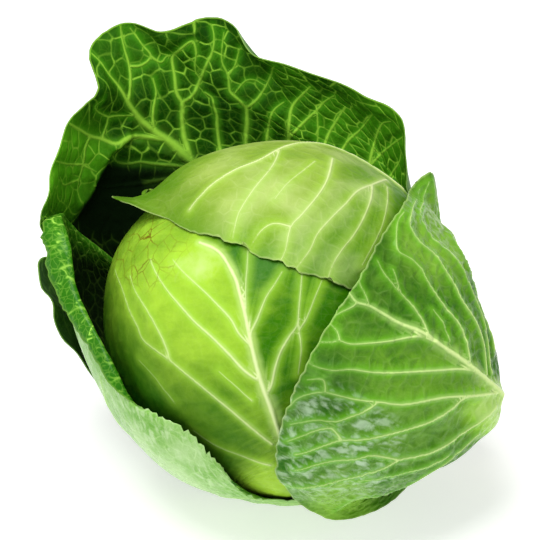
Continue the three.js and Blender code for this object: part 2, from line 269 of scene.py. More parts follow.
def leaf_sheet(foot, body, rings, fill, across, along):
    """The leaf's middle surface as a grid of points, from the foot's row to the margin's."""
    turn, half_width, height = foot
    arc = outwards(turn + half_width * np.linspace(-1, 1, 9))
    rows = [laid_row(CENTRE + STALK_AXIS * height + LEAF_BASE_RADIUS * arc, across)]
    laid = [laid_row(ring, across) for ring in rings]
    for share, distance in body:
        profile = np.array([[1, 0, 0, value] for value in np.atleast_1d(distance)], float)
        reach = profile[0, 3] if len(profile) == 1 else spline(
            profile, np.linspace(0, len(profile) - 1, across + 1))[:, 3]
        rows.append(between(rows[0], laid[0], share, reach))
    for index, ring in enumerate(laid):
        for extra in range(fill[index] if index < len(fill) else 0):
            share = (extra + 1) / (fill[index] + 1)
            distance = laid[index - 1][:, 3] + share * share * (ring[:, 3] - laid[index - 1][:, 3])
            rows.append(between(laid[index - 1], ring, share, distance))
        rows.append(ring)
    knots = np.array(rows)
    spots = CENTRE + knots[..., :3] * knots[..., 3:]
    lengths = np.linalg.norm(np.diff(spots, axis=0), axis=2).mean(1)
    found = spline(knots, by_length(lengths, along))
    return CENTRE + found[..., :3] * found[..., 3:]


def at_share(grid, down, over):
    """Reads a grid at shares of its length (down) and width (over)."""
    y, x = np.clip(down, 0, 1) * (grid.shape[0] - 1), np.clip(over, 0, 1) * (grid.shape[1] - 1)
    i, j = np.minimum(y.astype(int), grid.shape[0] - 2), np.minimum(x.astype(int), grid.shape[1] - 2)
    y, x = (y - i)[..., None], (x - j)[..., None]
    upper = grid[i, j] * (1 - x) + grid[i, j + 1] * x
    lower = grid[i + 1, j] * (1 - x) + grid[i + 1, j + 1] * x
    return upper * (1 - y) + lower * y


def sheet_normals(sheet):
    """Unit normals of a sheet, pointing away from the head."""
    normal = np.cross(np.gradient(sheet, axis=1), np.gradient(sheet, axis=0))
    normal /= np.maximum(np.linalg.norm(normal, axis=2, keepdims=True), 1e-9)
    middle = tuple(count // 2 for count in sheet.shape[:2])
    return normal * np.sign(normal[middle] @ (sheet[middle] - CENTRE))


JOIN_REACH = 4.0        # mm from a vein, within which the end of another is moved onto it
SAME_SPOT = 1.2         # mm: points of the sheet this much farther off are looked at too,
LAYER_DEPTH = 6.0       # and of those, the ones this near to the foremost fold are kept


def join_ends(spots, courses):
    """Moves each end of a course onto an earlier one that it almost reaches."""
    for end in (0, -1):
        best, joint = JOIN_REACH, spots[end]
        for _, _, other in courses:
            step = np.diff(other, axis=0)
            share = np.clip(((spots[end] - other[:-1]) * step).sum(1) / (step ** 2).sum(1), 0, 1)
            foot = other[:-1] + share[:, None] * step
            gap = np.linalg.norm(foot - spots[end], axis=1)
            if gap.min() < best:
                best, joint = gap.min(), foot[gap.argmin()]
        spots[end] = joint
    return spots


def seen_courses(sheet, weight, courses):
    """Places courses, drawn as (x, y) seen from in front, on the sheet's nearest layer. Each
    starts with its half-width at both ends, which weight scales."""
    seen = sheet[..., :2] * (VIEW_DISTANCE / (VIEW_DISTANCE - sheet[..., 2:]))
    down_step, over_step = np.gradient(seen, axis=0), np.gradient(seen, axis=1)
    last_row, last_column = sheet.shape[0] - 1, sheet.shape[1] - 1
    placed = []
    for start_width, end_width, *course in courses:
        spots = []
        for place in course:
            gap = np.linalg.norm(seen - place, axis=2)
            close = gap < gap.min() + SAME_SPOT
            close &= sheet[..., 2] > sheet[close, 2].max() - LAYER_DEPTH
            row, column = np.unravel_index(np.where(close, gap, 1e9).argmin(), gap.shape)
            steps = np.stack([down_step[row, column], over_step[row, column]], -1)
            move = np.clip(np.linalg.lstsq(steps, place - seen[row, column], rcond=0.05)[0], -1, 1)
            spots.append(at_share(sheet, (row + move[0]) / last_row, (column + move[1]) / last_column))
        placed.append((weight * start_width, weight * end_width, join_ends(np.array(spots), placed)))
    return placed


def chart_courses(sheet, courses):
    """Places courses, drawn as (share along, share across), on the sheet."""
    return [(start_width, end_width, at_share(sheet, *np.array(course, float).T))
            for start_width, end_width, *course in courses]


RIB_MARGIN, RIB_STAGGER, RIB_BEND, RIB_TIP = 0.03, 0.012, 0.8, 0.35     # shares of a leaf; tip in mm


def side_ribs(middle, starts, ends, width):
    """Courses of the ribs that leave a midrib on both sides and bend towards the margin."""
    courses = []
    for side, edge in ((-1, middle - RIB_MARGIN), (1, 1 - RIB_MARGIN - middle)):
        for start, end in zip(starts, ends):
            courses.append((width, RIB_TIP, *[(start + RIB_STAGGER * side + (end - start) * part,
                                               middle + side * edge * part ** RIB_BEND)
                                              for part in np.linspace(0, 1, 7)]))
    return courses


# A vein is felt 14 mm to each side, but not through to a fold of the leaf 7 mm away, where it counts
# as 100 mm farther. With none in reach, the nearest counts as 60 mm off.
VEIN_REACH, FOLD_GAP, OTHER_FOLD, NO_VEIN = 14.0, 7.0, 100, 60.0
SPAN_STEPS = 4          # straight steps between two knots of a vein


def vein_field(points, normals, courses):
    """For each point, in mm: the vector from the nearest vein, its length, and the half-width."""
    best = np.full(len(points), NO_VEIN)
    field = np.tile([0.0, 0.0, 0.0, NO_VEIN, 0.5], (len(points), 1))
    for start_width, end_width, spots in courses:
        count = len(spots) - 1
        knots = np.hstack([spots - CENTRE, np.ones((len(spots), 1))])
        size = np.linalg.norm(knots[:, :3], axis=1, keepdims=True)
        knots = np.hstack([knots[:, :3] / size, size])
        fine = spline(knots, np.linspace(0, count, count * SPAN_STEPS + 1))
        course = CENTRE + fine[:, :3] * fine[:, 3:]
        step = np.diff(course, axis=0)
        length = np.maximum(np.linalg.norm(step, axis=1), 1e-6)
        done = np.concatenate([[0], np.cumsum(length)])[:-1]
        index = np.flatnonzero(
            ((points > course.min(0) - VEIN_REACH) & (points < course.max(0) + VEIN_REACH)).all(1))
        arm = points[index, None] - course[None, :-1]
        share = np.clip((arm * step).sum(-1) / length ** 2, 0, 1)
        gap = arm - share[..., None] * step
        lift = (gap * normals[index, None]).sum(-1)
        gap -= lift[..., None] * normals[index, None]
        distance = np.linalg.norm(gap, axis=-1) + OTHER_FOLD * (np.abs(lift) > FOLD_GAP)
        nearest = distance.argmin(1)
        pick = np.arange(len(index)), nearest
        part = (done[nearest] + share[pick] * length[nearest]) / (done[-1] + length[-1])
        width = start_width + (end_width - start_width) * part
        ahead = distance[pick] - width < best[index]
        chosen = index[ahead]
        best[chosen] = (distance[pick] - width)[ahead]
        field[chosen] = np.column_stack([gap[pick], distance[pick], width])[ahead]
    return field[:, :3], field[:, 3], field[:, 4]


# The net in shares of its mesh size: how far its first knots stand off a vein and along it, the least
# room round those knots and round the rest, and how far its threads bend.
KNOT_OFF, KNOT_STEP, KNOT_ROOM, FREE_ROOM, THREAD_BEND = 0.36, 0.8, 0.62, (0.5, 1.3), 0.13
KNOT_TRIES = 9000       # spots tried for a knot, after the first ones beside the veins
FIRST_KNOTS = 0.6       # about what share of those first ones finds room
GOLDEN = 0.6180339      # spreads the threads' strengths evenly


def net_field(sheet, chart, to_vein, courses, cell, seed):
    """A net of small veins that ends on the main ones, drawn on the chart of the leaf laid flat. For
    each point: the vector from the nearest thread and its length, mm, and how much it shows."""
    draw = np.random.default_rng(seed)
    flat = sheet.reshape(-1, 3)
    seeds = []
    for _, _, spots in courses:
        laid = chart[[((flat - spot) ** 2).sum(1).argmin() for spot in spots]]
        for start, run in zip(laid[:-1], np.diff(laid, axis=0)):
            length = max(np.hypot(*run), 1e-6)
            across = KNOT_OFF * cell / length * np.array([-run[1], run[0]])
            count = max(int(length / (KNOT_STEP * cell)), 1)
            for part in (np.arange(count) + draw.uniform(0.2, 0.8)) / count:
                seeds += [start + run * part + across, start + run * part - across]
    candidates = chart[draw.permutation(len(chart))[:KNOT_TRIES]]
    kept = np.empty((0, 2))
    for spot in np.vstack([np.reshape(seeds, (-1, 2)), candidates]):
        spacing = cell * (KNOT_ROOM if len(kept) < len(seeds) * FIRST_KNOTS else draw.uniform(*FREE_ROOM))
        if not len(kept) or ((kept - spot) ** 2).sum(1).min() > spacing ** 2:
            kept = np.vstack([kept, spot])
    tree = KDTree(len(kept))
    for index, (x, y) in enumerate(kept):
        tree.insert((x, y, 0), index)
    tree.balance()
    bend = THREAD_BEND * cell * smooth(to_vein, 0, 0.6 * cell)[:, None]
    bent = chart + bend * np.stack([swell(flat, 1.3 * cell, seed + axis) for axis in (5, 6)], -1)
    found = [[(index, gap) for _, index, gap in tree.find_n((x, y, 0), 4)] for x, y in bent]
    index, gap = np.array(found).transpose(2, 0, 1)
    index = index.astype(int)
    arm = kept[index[:, 1:]] - kept[index[:, :1]]
    spread = np.linalg.norm(arm, axis=2)
    edge = (gap[:, 1:] ** 2 - gap[:, :1] ** 2) / (2 * spread)
    pick = np.arange(len(edge)), edge.argmin(1)
    distance = edge[pick]
    pair = index[:, 0] * index[pick[0], pick[1] + 1] + index[:, 0] + index[pick[0], pick[1] + 1]
    strength = 0.1 + 0.9 * (pair * GOLDEN % 1) ** 0.8
    across = arm[pick] * (distance / spread[pick])[:, None]
    return np.column_stack([across, 0 * distance]), distance, strength


# How far in from a leaf's margin, mm, it ruffles, is drawn in, is thinner, and isn't fully quilted.
RUFFLE_REACH, SETTLE_REACH, THIN_REACH, QUILT_START = 24, 16, 5, 8
# The quilting is full this far from a thread, in sizes of the mesh, and this far from a vein, in mm.
THREAD_VALLEY, VEIN_VALLEY = 0.38, 7
THICK_FOOT, THICK_BLADE = 1.6, 0.9      # mm, at the foot and out in the blade
THIN_EDGE = 0.55                        # share of its thickness that a leaf has at the margin
MARGIN_ONLY = 14                        # a power that keeps a notch to the last of the margin
MAIN_VEIN = 0.35                        # mm half-width from which the net ends on a vein
TABLE_GAP, UPPER_GAP = 0.05, 1.0        # mm that the outer and the inner face keep from the table
BLUR = 0.75                             # steps of the grid that a stored distance reads too long


def grow_leaf(name, sheet, courses, cell, seed, ridge=(0.6, -0.15), pillow=0.25, frill=(0.8, 26),
              settle=0.0, nibble=(0.004, 0.004), roll=(1.4, 60), every=(1, 1)):
    """Builds a leaf round its middle surface. The ridge of a vein is given for the outer and the
    inner face, pillow is how far the blade bulges inwards between veins, frill and roll are the
    height and size of the waves at the margin and all over, settle draws the margin in, nibble
    is how uneven the far margin and the side margins are, and every says which points of the
    sheet the outer and the inner face keep."""
    down, over = np.meshgrid(np.linspace(0, 1, sheet.shape[0]), np.linspace(0, 1, sheet.shape[1]),
                             indexing="ij")
    notch = 0.5 + 0.3 * swell(sheet, 15, seed) + 0.35 * swell(sheet, 5, seed + 1)
    out = 2 * over - 1
    sheet = at_share(sheet, down * (1 - nibble[0] * notch * down ** MARGIN_ONLY),
                     0.5 + 0.5 * out * (1 - nibble[1] * notch * np.abs(out) ** MARGIN_ONLY))
    normal = sheet_normals(sheet)
    steps = np.linalg.norm(np.diff(sheet, axis=1), axis=2)
    left = np.concatenate([np.zeros((len(sheet), 1)), np.cumsum(steps, axis=1)], axis=1)
    rise = np.linalg.norm(np.diff(sheet, axis=0), axis=2)
    climb = np.concatenate([np.zeros((1, sheet.shape[1])), np.cumsum(rise, axis=0)])
    edge = np.minimum(np.minimum(left, left[:, -1:] - left), climb[-1:] - climb)
    near_edge = 1 - smooth(edge, 0, RUFFLE_REACH)
    wave = frill[0] * near_edge * swell(sheet, frill[1], seed + 2) * smooth(down, 0.1, 0.3)
    wave = wave + roll[0] * swell(sheet, roll[1], seed + 3) * smooth(down, 0.15, 0.4)
    wave = wave - settle * (1 - smooth(edge, 0, SETTLE_REACH))
    sheet = sheet + wave[..., None] * normal
    normal = sheet_normals(sheet)
    flat, flat_normal = sheet.reshape(-1, 3), normal.reshape(-1, 3)
    from_vein, to_vein, vein_width = vein_field(flat, flat_normal, courses)
    main = [course for course in courses if course[0] > MAIN_VEIN]
    chart = np.stack([left - left[:, left.shape[1] // 2, None], climb], -1).reshape(-1, 2)
    from_net, to_net, strength = net_field(sheet, chart, to_vein, main, cell, seed)
    rib = np.exp(-(to_vein / (vein_width * 1.1)) ** 2) * vein_width
    bulge = pillow * (smooth(to_net, 0, THREAD_VALLEY * cell) * strength
                      + 1.6 * smooth(to_vein - vein_width, 0, VEIN_VALLEY))
    bulge *= smooth(edge.ravel(), 0, QUILT_START) * smooth(down.ravel(), 0.05, 0.25)
    half = THICK_FOOT + (THICK_BLADE - THICK_FOOT) * smooth(down.ravel(), 0, 0.6)
    half = 0.5 * half * (THIN_EDGE + (1 - THIN_EDGE) * smooth(edge.ravel(), 0, THIN_REACH))
    outer = flat + (half + ridge[0] * rib - bulge)[:, None] * flat_normal
    inner = flat - (half + ridge[1] * rib + bulge)[:, None] * flat_normal
    table = CENTRE @ UP - REST_DROP
    outer += np.maximum(table + TABLE_GAP - outer @ UP, 0)[:, None] * UP
    inner += np.maximum(table + UPPER_GAP - inner @ UP, 0)[:, None] * UP
    # The two faces, and the rim that joins them.
    place = np.arange(len(flat)).reshape(sheet.shape[:2])
    spacing = max(steps.mean(), rise.mean())
    lie = np.column_stack([edge.ravel(), strength, down.ravel(), over.ravel()])
    tables, polygons, borders = [], [], []
    for side, (surface, step) in enumerate(zip((outer, inner), every)):
        kept = place[::step, ::step]
        grid = np.arange(kept.size).reshape(kept.shape) + sum(map(len, tables))
        quads = np.stack([grid[:-1, :-1], grid[:-1, 1:], grid[1:, 1:], grid[1:, :-1]], -1).reshape(-1, 4)
        polygons += (quads[:, ::-1] if side else quads).tolist()
        borders.append(np.concatenate([grid[0, :-1], grid[:-1, -1], grid[-1, :0:-1], grid[:0:-1, 0]]))
        kept, blur = kept.ravel(), BLUR * spacing * step
        tables.append(np.column_stack([
            surface[kept], from_vein[kept], from_net[kept], to_vein[kept] - blur, to_net[kept] - blur,
            vein_width[kept], lie[kept], np.full(len(kept), 1.0 - side)]))
    count = min(map(len, borders))
    skips = [len(border) // count for border in borders]
    for part in range(count):
        above, below = (np.take(border, range(part * skip, part * skip + skip + 1), mode="wrap").tolist()
                        for border, skip in zip(borders, skips))
        polygons.append(above[:1] + below + above[:0:-1])
    turned = np.cross(sheet[1:-1, 2:] - sheet[1:-1, :-2], sheet[2:, 1:-1] - sheet[:-2, 1:-1])
    if (turned * normal[1:-1, 1:-1]).sum() < 0:
        polygons = [polygon[::-1] for polygon in polygons]
    rows = np.vstack(tables)
    marks = {"vein": rows[:, 3:6], "net": rows[:, 6:9], "near": rows[:, 9:12], "lie": rows[:, 12:15],
             "face": rows[:, [16, 15, 14]]}
    piece = add_mesh(name, rows[:, :3], polygons, marks)
    piece["every"] = every
    # The outer face is unwrapped in the left half of the square, the inner face in the right half.
    unwrapped = rows[:, [15, 14]] * [0.48, 0.98] + 0.01 + (1 - rows[:, 16:]) * [0.5, 0]
    corners = [corner for polygon in polygons for corner in polygon]
    piece.data.uv_layers.new(name="OFBake").data.foreach_set("uv", unwrapped[corners].ravel())
    return piece, sheet


def mark_zones(piece, sheet, under, upper):
    """Stores how pale a leaf is with painted light (over 1 a painted highlight), how much shade is
    painted on it, and its wax with painted glints or its cracks, on its outer and inner face.
    """
    ones = np.ones(sheet.shape[:2])
    values = [np.stack([(zone * ones)[::step, ::step].ravel() for zone in face], -1)
              for face, step in zip((under, upper), piece["every"])]
    piece.data.attributes.new("zone", "FLOAT_VECTOR", "POINT").data.foreach_set(
        "vector", np.clip(np.vstack(values), 0, 2).astype(np.float32).ravel())


def patch(sheet, x, y, reach, fade=0.7):
    """1 inside a round patch of the leaf seen from in front at x, y, fading to 0 at its reach."""
    gap = np.hypot(sheet[..., 0] - x, sheet[..., 1] - y)
    return 1 - smooth(gap, reach * (1 - fade), reach)


# Sizes in a leaf's skin, mm: blotches of tone, flecks, plates of cracked old skin, how far the edges
# of the plates wander, the ridge over a vein, and the grain.
BLOTCH, FLECK, PLATE, WANDER, VEIN_RIDGE, SKIN_GRAIN = 35, 7, 9, 3, 0.5, 0.1
# Streaks and the panes of painted glint run from a leaf's foot to its margin, so their sizes, mm, are
# turned into repeats over a leaf's width and length. The first number keeps its two faces from looking alike.
LEAF_WIDTH, LEAF_LENGTH, FACE_SHIFT = 210.0, 200.0, 9.0
STREAK_WIDTH, STREAK_LENGTH, PANE_WIDTH, PANE_LENGTH = 3.0, 10.0, 1.826, 11.765
STREAKS = (FACE_SHIFT, LEAF_WIDTH / STREAK_WIDTH, LEAF_LENGTH / STREAK_LENGTH)
PANES = (FACE_SHIFT, LEAF_WIDTH / PANE_WIDTH, LEAF_LENGTH / PANE_LENGTH)
# Where the bright core of a vein and its softer flanks are full and where they end, in half-widths.
CORE, FLANK = (0.1, 1.8), (0.8, 4.5)
# How far a thread's line and its glow reach, in widths of a line and in reaches of a vein's glow.
LINE_REACH, SOFT_REACH, SOFT_SHOW = 2.2, 0.5, 0.45
HEM = (0.2, 1.3)        # mm from the margin, where its pale hem is full and where it ends
MESH_LINE, CRACK_LINE = 0.09, 0.05      # widths of the finest veins and of cracks, in sizes of a cell
EASED = {"interpolation_type": "SMOOTHSTEP"}


def leaf_finish(name, under, upper=None, wax="#DCE8D2", net_line=0.32, net_show=(0.4, 0.6), halo_reach=5.0,
                halo_show=0.7, vein_show=0.85, roughness=0.38, gloss=0.3, glint_show=0.4, mesh_show=0.15,
                mesh_size=3.6, cushion=0.12, hem=0.5, streaky=0.5, bloom_and_sheen_show=0.3, flank_show=0.3, mottle=0.7,
                glint=0.0, crack=None):
    """Living cabbage leaf: a soft blade under a thin coat of wax, paler along its veins. The colours
    of the underside and of the upper face are the blade, the blade where it is pale or painted lit,
    the blade in painted deep shade, the glow beside a vein and the vein, which also colours the
    painted highlight. The wax colour is the wax and the painted glints and sheen on it. With a crack
    colour, the zone of wax is one of old skin instead, split into small plates. Line widths and
    reaches are in mm."""
    finish, put = new_finish(name)
    near, lie, zone, face = (
        put("SeparateXYZ", [put("Attribute", attribute_name=mark).outputs["Vector"]]).outputs
        for mark in ("near", "lie", "zone", "face"))
    half_width, to_edge, strength, outward = near[2], lie[0], lie[1], face[0]
    # pale: a paler tone and painted light; dark: painted shade; the third: wax with its painted glints and
    # sheen, or cracked skin
    pale_and_lit_zone, painted_shade_zone, wax_glint_crack_zone = zone
    room = put("TexCoord").outputs["Object"]
    blade, pale, deep, halo, vein = (put("Mix", (outward, linear(above), linear(below)), data_type="RGBA")
                                     for below, above in zip(under, upper or under))
    # Blotches, flecks and the finest veins, and streaks that run from the leaf's foot to its margin.
    blotch = put("TexNoise", {"Vector": room, "Scale": 1000 / BLOTCH, "Detail": 4.0})
    fleck = put("TexNoise", {"Vector": room, "Scale": 1000 / FLECK, "Detail": 5.0, "Roughness": 0.6})
    wander = put("VectorMath", (fleck.outputs["Color"], (WANDER / 1000,) * 3, room), operation="MULTIPLY_ADD")
    mesh = put("TexVoronoi", {"Vector": wander, "Scale": 1000 / mesh_size}, feature="DISTANCE_TO_EDGE")
    chart = put("Attribute", attribute_name="face").outputs["Vector"]
    streak = put("TexNoise", {"Vector": put("VectorMath", (chart, STREAKS), operation="MULTIPLY"),
                              "Scale": 1.0, "Detail": 4.0, "Roughness": 0.6, "Distortion": 0.6})
    # Distance to the nearest vein and to the nearest thread of the net, mm.
    to_vein, to_net = (
        put("Math", (put("VectorMath", [put("Attribute", attribute_name=mark).outputs["Vector"]],
                         operation="LENGTH"), least), operation="MAXIMUM")
        for mark, least in (("vein", near[0]), ("net", near[1])))
    # A vein has a bright core, softer flanks and a glow beside it. A thread of the net shows in part.
    uneven = put("Math", (fleck, 0.5), operation="ADD")
    share = put("Math", (to_vein, half_width), operation="DIVIDE")
    share = put("Math", (share, uneven), operation="MULTIPLY")
    core = put("MapRange", (share, *CORE, 1.0, 0.0), **EASED)
    flank = put("MapRange", (share, *FLANK, flank_show, 0.0), **EASED)
    glow = put("MapRange", (to_vein, 0.0, halo_reach, halo_show, 0.0), **EASED)
    shown = strength
    for limit in ((outward, 0.0, 1.0, net_show[1], net_show[0]), (blotch, 0.35, 0.6, 0.5, 1.0)):
        shown = put("Math", (shown, put("MapRange", limit, **EASED)), operation="MULTIPLY")
    ragged = put("Math", (to_net, uneven), operation="MULTIPLY")
    line, soft = (put("Math", (put("MapRange", limit, **EASED), shown), operation="MULTIPLY")
                  for limit in ((ragged, 0.0, net_line * LINE_REACH, 1.0, 0.0),
                                (to_net, 0.0, halo_reach * SOFT_REACH, SOFT_SHOW, 0.0)))
    thread = put("MapRange", (mesh, 0.0, MESH_LINE, mesh_show, 0.0), **EASED)
    # The blade: young and pale in blotches and streaks and where light is painted, deep where shade is
    # painted, glowing beside veins, and with a painted highlight in the vein colour where it is palest.
    # Pale blotches and streaks of tone, plus the painted light of the pale zone.
    young = put("Math", (blotch, mottle, -0.5 * (mottle + streaky)), operation="MULTIPLY_ADD")
    young = put("Math", (streak, streaky, young), operation="MULTIPLY_ADD")
    young = put("Math", (young, pale_and_lit_zone), operation="ADD", use_clamp=True)
    # Random flecks of darker tone, plus the painted shade.
    tone_and_painted_shade = put("Math", (put("Math", (fleck, 0.4, -0.2), operation="MULTIPLY_ADD"), painted_shade_zone), operation="ADD",
              use_clamp=True)
    # How much of the glow and the lines of the veins shows through the painted shade.
    lit = put("Math", (painted_shade_zone, -0.9, 1.0), operation="MULTIPLY_ADD")
    glow = put("Math", (put("Math", (glow, soft), operation="MAXIMUM"), lit), operation="MULTIPLY")
    thick = put("MapRange", (half_width, 0.1, 0.9, 0.5 * vein_show, vein_show), **EASED)
    ribs = put("Math", (put("Math", (core, flank), operation="MAXIMUM"), thick), operation="MULTIPLY")
    lines = put("Math", (put("Math", (line, thread), operation="MAXIMUM"), ribs), operation="MAXIMUM")
    lines = put("Math", (lines, lit), operation="MULTIPLY")
    lines = put("Math", (lines, put("MapRange", (to_edge, *HEM, hem, 0.0), **EASED)), operation="MAXIMUM")
    # A painted highlight in the vein colour where the pale zone tops 1; on the right leaf the same mix also
    # pales the bulge of the rib.
    highlight_and_pale_rib = put("Math", (fleck, 0.5, pale_and_lit_zone), operation="MULTIPLY_ADD")
    highlight_and_pale_rib = put("Math", (blotch, 1.6, highlight_and_pale_rib), operation="MULTIPLY_ADD")
    highlight_and_pale_rib = put("Math", (highlight_and_pale_rib, 2.05), operation="SUBTRACT", use_clamp=True)
    if crack:
        plates = put("TexVoronoi", {"Vector": wander, "Scale": 1000 / PLATE}, feature="DISTANCE_TO_EDGE")
        split = put("Math", (put("MapRange", (plates, 0.0, CRACK_LINE, 1.0, 0.0), **EASED),
                             put("MapRange", (blotch, 0.42, 0.6, 0.3, 1.0), **EASED)), operation="MULTIPLY")
    else:
        # Wax: a thin bluish coat where it hasn't been rubbed off. Painted glints lie on small panes of it
        # between the finest veins, in streaks, and a soft whitish layer, part wax and part painted sheen,
        # lies over all.
        panes = put("TexVoronoi", {"Vector": put("VectorMath", (chart, PANES), operation="MULTIPLY"),
                                   "Scale": 1.0}, feature="DISTANCE_TO_EDGE")
        painted_glints = put("Math", (fleck, 0.25, streak), operation="MULTIPLY_ADD")
        painted_glints = put("Math", (panes, 0.6, painted_glints), operation="MULTIPLY_ADD")
        painted_glints = put("MapRange", (painted_glints, 0.6, 0.92, 0.0, 1.0), **EASED)
        for limit in ((to_vein, 0.6, 1.8, 0.1, 1.0), (wax_glint_crack_zone, 0.35, 0.6, 0.0, glint_show)):
            painted_glints = put("Math", (painted_glints, put("MapRange", limit, **EASED)), operation="MULTIPLY")
        drift = put("Math", (streak, streaky), operation="MULTIPLY")
        drift = put("Math", (blotch, 1 - streaky, drift), operation="MULTIPLY_ADD")
        bloom_and_sheen = put("MapRange", (drift, 0.4, 0.64, 0.0, bloom_and_sheen_show), **EASED)
        split = put("Math", (painted_glints, bloom_and_sheen), operation="MAXIMUM")
    wax_glint_crack = put("Math", (split, wax_glint_crack_zone), operation="MULTIPLY")
    # Laid on in turn: pale tone and painted light, painted shade, the vein glow, the veins, the painted
    # highlight, and the wax with its painted glints or the cracks.
    colour = blade
    for cover, tone in ((young, pale), (tone_and_painted_shade, deep), (glow, halo), (lines, vein), (highlight_and_pale_rib, vein),
                        (wax_glint_crack, linear(crack or wax))):
        colour = put("Mix", (cover, colour, tone), data_type="RGBA")
    # Glassier where the wax shines, duller in deep shade.
    rough = put("MapRange", (fleck, 0.3, 0.7, roughness - 0.06, roughness + 0.1), **EASED)
    rough = put("Math", (painted_shade_zone, 0.4, rough), operation="MULTIPLY_ADD")
    if not crack:
        rough = put("Math", (wax_glint_crack, -glint, rough), operation="MULTIPLY_ADD")
    # Relief too fine for the mesh: ridges, threads, and the grain of the skin.
    crest = put("Math", (put("Math", (core, half_width), operation="MULTIPLY"), VEIN_RIDGE),
                operation="MULTIPLY")
    swelling = put("Math", (put("MapRange", (to_net, 0.0, 2.6, 0.0, cushion), **EASED), strength),
                   operation="MULTIPLY")
    grain = put("Math", (mesh, SKIN_GRAIN, swelling), operation="MULTIPLY_ADD")
    grain = put("Math", (fleck, SKIN_GRAIN * 2, grain), operation="MULTIPLY_ADD")
    facing = put("Math", (outward, 2.0, -1.0), operation="MULTIPLY_ADD")
    height = put("Math", (crest, put("Math", (grain, facing), operation="MULTIPLY")), operation="SUBTRACT")
    relief = put("Bump", {"Height": height, "Strength": 0.8, "Distance": 0.001})
    put("OutputMaterial", [put("BsdfPrincipled", {"Base Color": colour, "Roughness": rough, "IOR": 1.42,
                                                  "Specular IOR Level": gloss, "Normal": relief})])
    return finish


REAR_RADIUS = 83.2
rear_sheet = leaf_sheet(
    (-90, -150, 82.5), [(0.35, REAR_RADIUS), (0.7, REAR_RADIUS)],
    [away_from_stalk([(52, 28), (20, 46), (-20, 56), (-60, 66), (-100, 70), (-140, 66), (-180, 54),
                      (-215, 42), (-238, 28)], REAR_RADIUS),
     near(REAR_RADIUS, [(83, -10), (72, 15), (45, 42), (0, 54), (-40, 42), (-66, 15), (-77, -25),
                        (-69, -60), (-40, -92), (5, -106), (45, -96), (75, -66)])],
    [0, 2], across=110, along=90)
rear_veins = chart_courses(rear_sheet, side_ribs(0.5, (0.1, 0.25, 0.4), (0.6, 0.8, 0.95), 1.2))
rear_leaf, rear_sheet = grow_leaf("rear_head_leaf_blade", rear_sheet, rear_veins, cell=12, seed=11,
                                  roll=(0.4, 60), frill=(0.2, 26), pillow=0.1, every=(1, 2))
# Both faces: a paler tone and an even painted shade.
mark_zones(rear_leaf, rear_sheet, (0.4, 0.3, 0.0), (0.4, 0.3, 0.0))
# Skin that grew in the shade: pale, even and a little dull, and darkened evenly by painted shade.
rear_leaf.data.materials.append(leaf_finish(
    "head leaf skin, shaded", ("#7FA63A", "#A9C860", "#3E6A14", "#9CC04C", "#CFE094")))
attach(rear_leaf, "root")
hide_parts("rear_head_leaf")

# ---- Front head leaf ----
# The bright young leaf that the head shows in front, glossy with a painted highlight, and tight over the
# ball.
# Its midrib runs down to the stalk at the lower right, with long side veins on both sides.
FRONT_RADIUS = 87.2
front_sheet = leaf_sheet(
    (100, 70, 86.5), [(0.3, FRONT_RADIUS), (0.65, FRONT_RADIUS)],
    [away_from_stalk([(turn, 88) for turn in (-12, 15, 45, 75, 105, 135, 165, 190)], FRONT_RADIUS),
     far(FRONT_RADIUS, [(-28, 50), (-56, 32), (-74, 8), (-78, -20), (-72, -50), (-50, -84), (-18, -102)])],
    [0, 2], across=280, along=270)
# The leaf stands 2.3 mm proud at its foot, where its thick rib lies under the right leaf.
proud = 2.3 * patch(front_sheet, 12, -112, 32, 0.9) / FRONT_RADIUS
front_sheet += proud[..., None] * (front_sheet - CENTRE)
front_veins = seen_courses(front_sheet, 0.62, [
    (2.2, 1.2, (10, -92), (5.5, -83), (2.5, -75), (0, -67.5), (-2.5, -61), (-5, -53.5), (-7, -46),
     (-9, -37.5), (-10.5, -30), (-12.5, -21), (-14.5, -13.5), (-16.5, -6), (-20, 1), (-24, 7.5),
     (-28.5, 11), (-35, 13.5)),
    (1.1, 0.4, (1, -87), (-11, -77.5), (-21, -69), (-35, -57.5), (-49, -46), (-56, -41), (-64, -34.5),
     (-66.5, -28), (-71, -19), (-74, -10), (-77, 0)),
    (0.9, 0.3, (-50, -45), (-52.5, -37.5), (-56, -30), (-60, -22.5), (-63.5, -16.5), (-67.5, -10),
     (-70, -2.5)),
    (1.1, 0.4, (-6, -56), (-12.5, -50), (-21, -41), (-30, -32.5), (-37.5, -26), (-45, -17.5), (-51, -10),
     (-57, 0), (-59, 5)),
    (0.9, 0.3, (-9, -38), (-15, -32), (-19, -25), (-25, -18.5), (-32.5, -11), (-39, -5), (-44, 0),
     (-48, 5)),
    (0.9, 0.4, (0, -98), (-7.5, -96), (-16.5, -92.5), (-26, -88.5), (-38, -80)),
    (0.5, 0.25, (-47.5, -66), (-52.5, -60), (-60, -51), (-66, -45)),
    (0.5, 0.25, (-9, -65), (-17.5, -57.5), (-25.5, -50.5)),
    (0.9, 0.35, (-10, -26), (-12, -16), (-12, -6), (-11.5, 0), (-11, 10)),
    (0.9, 0.35, (-8, -32), (-6, -24), (-2, -14), (2.5, -7), (6, -1)),
    (1.0, 0.4, (0, -62), (1, -56), (2.5, -48.5), (5.5, -40), (10, -32.5), (13.5, -27.5), (14.5, -18),
     (15.5, -7.5), (16, 0)),
    (0.7, 0.25, (13.5, -27.5), (15, -34), (15.5, -41), (14, -52)),
    (0.6, 0.25, (16, -30), (18.5, -23.5), (22.5, -13.5), (26, -5)),
])
front_leaf, front_sheet = grow_leaf("front_head_leaf_blade", front_sheet, front_veins, cell=10, seed=23,
                                    roll=(1.1, 60), frill=(0.3, 26), pillow=0.3, ridge=(0.6, -0.1),
                                    every=(1, 2))
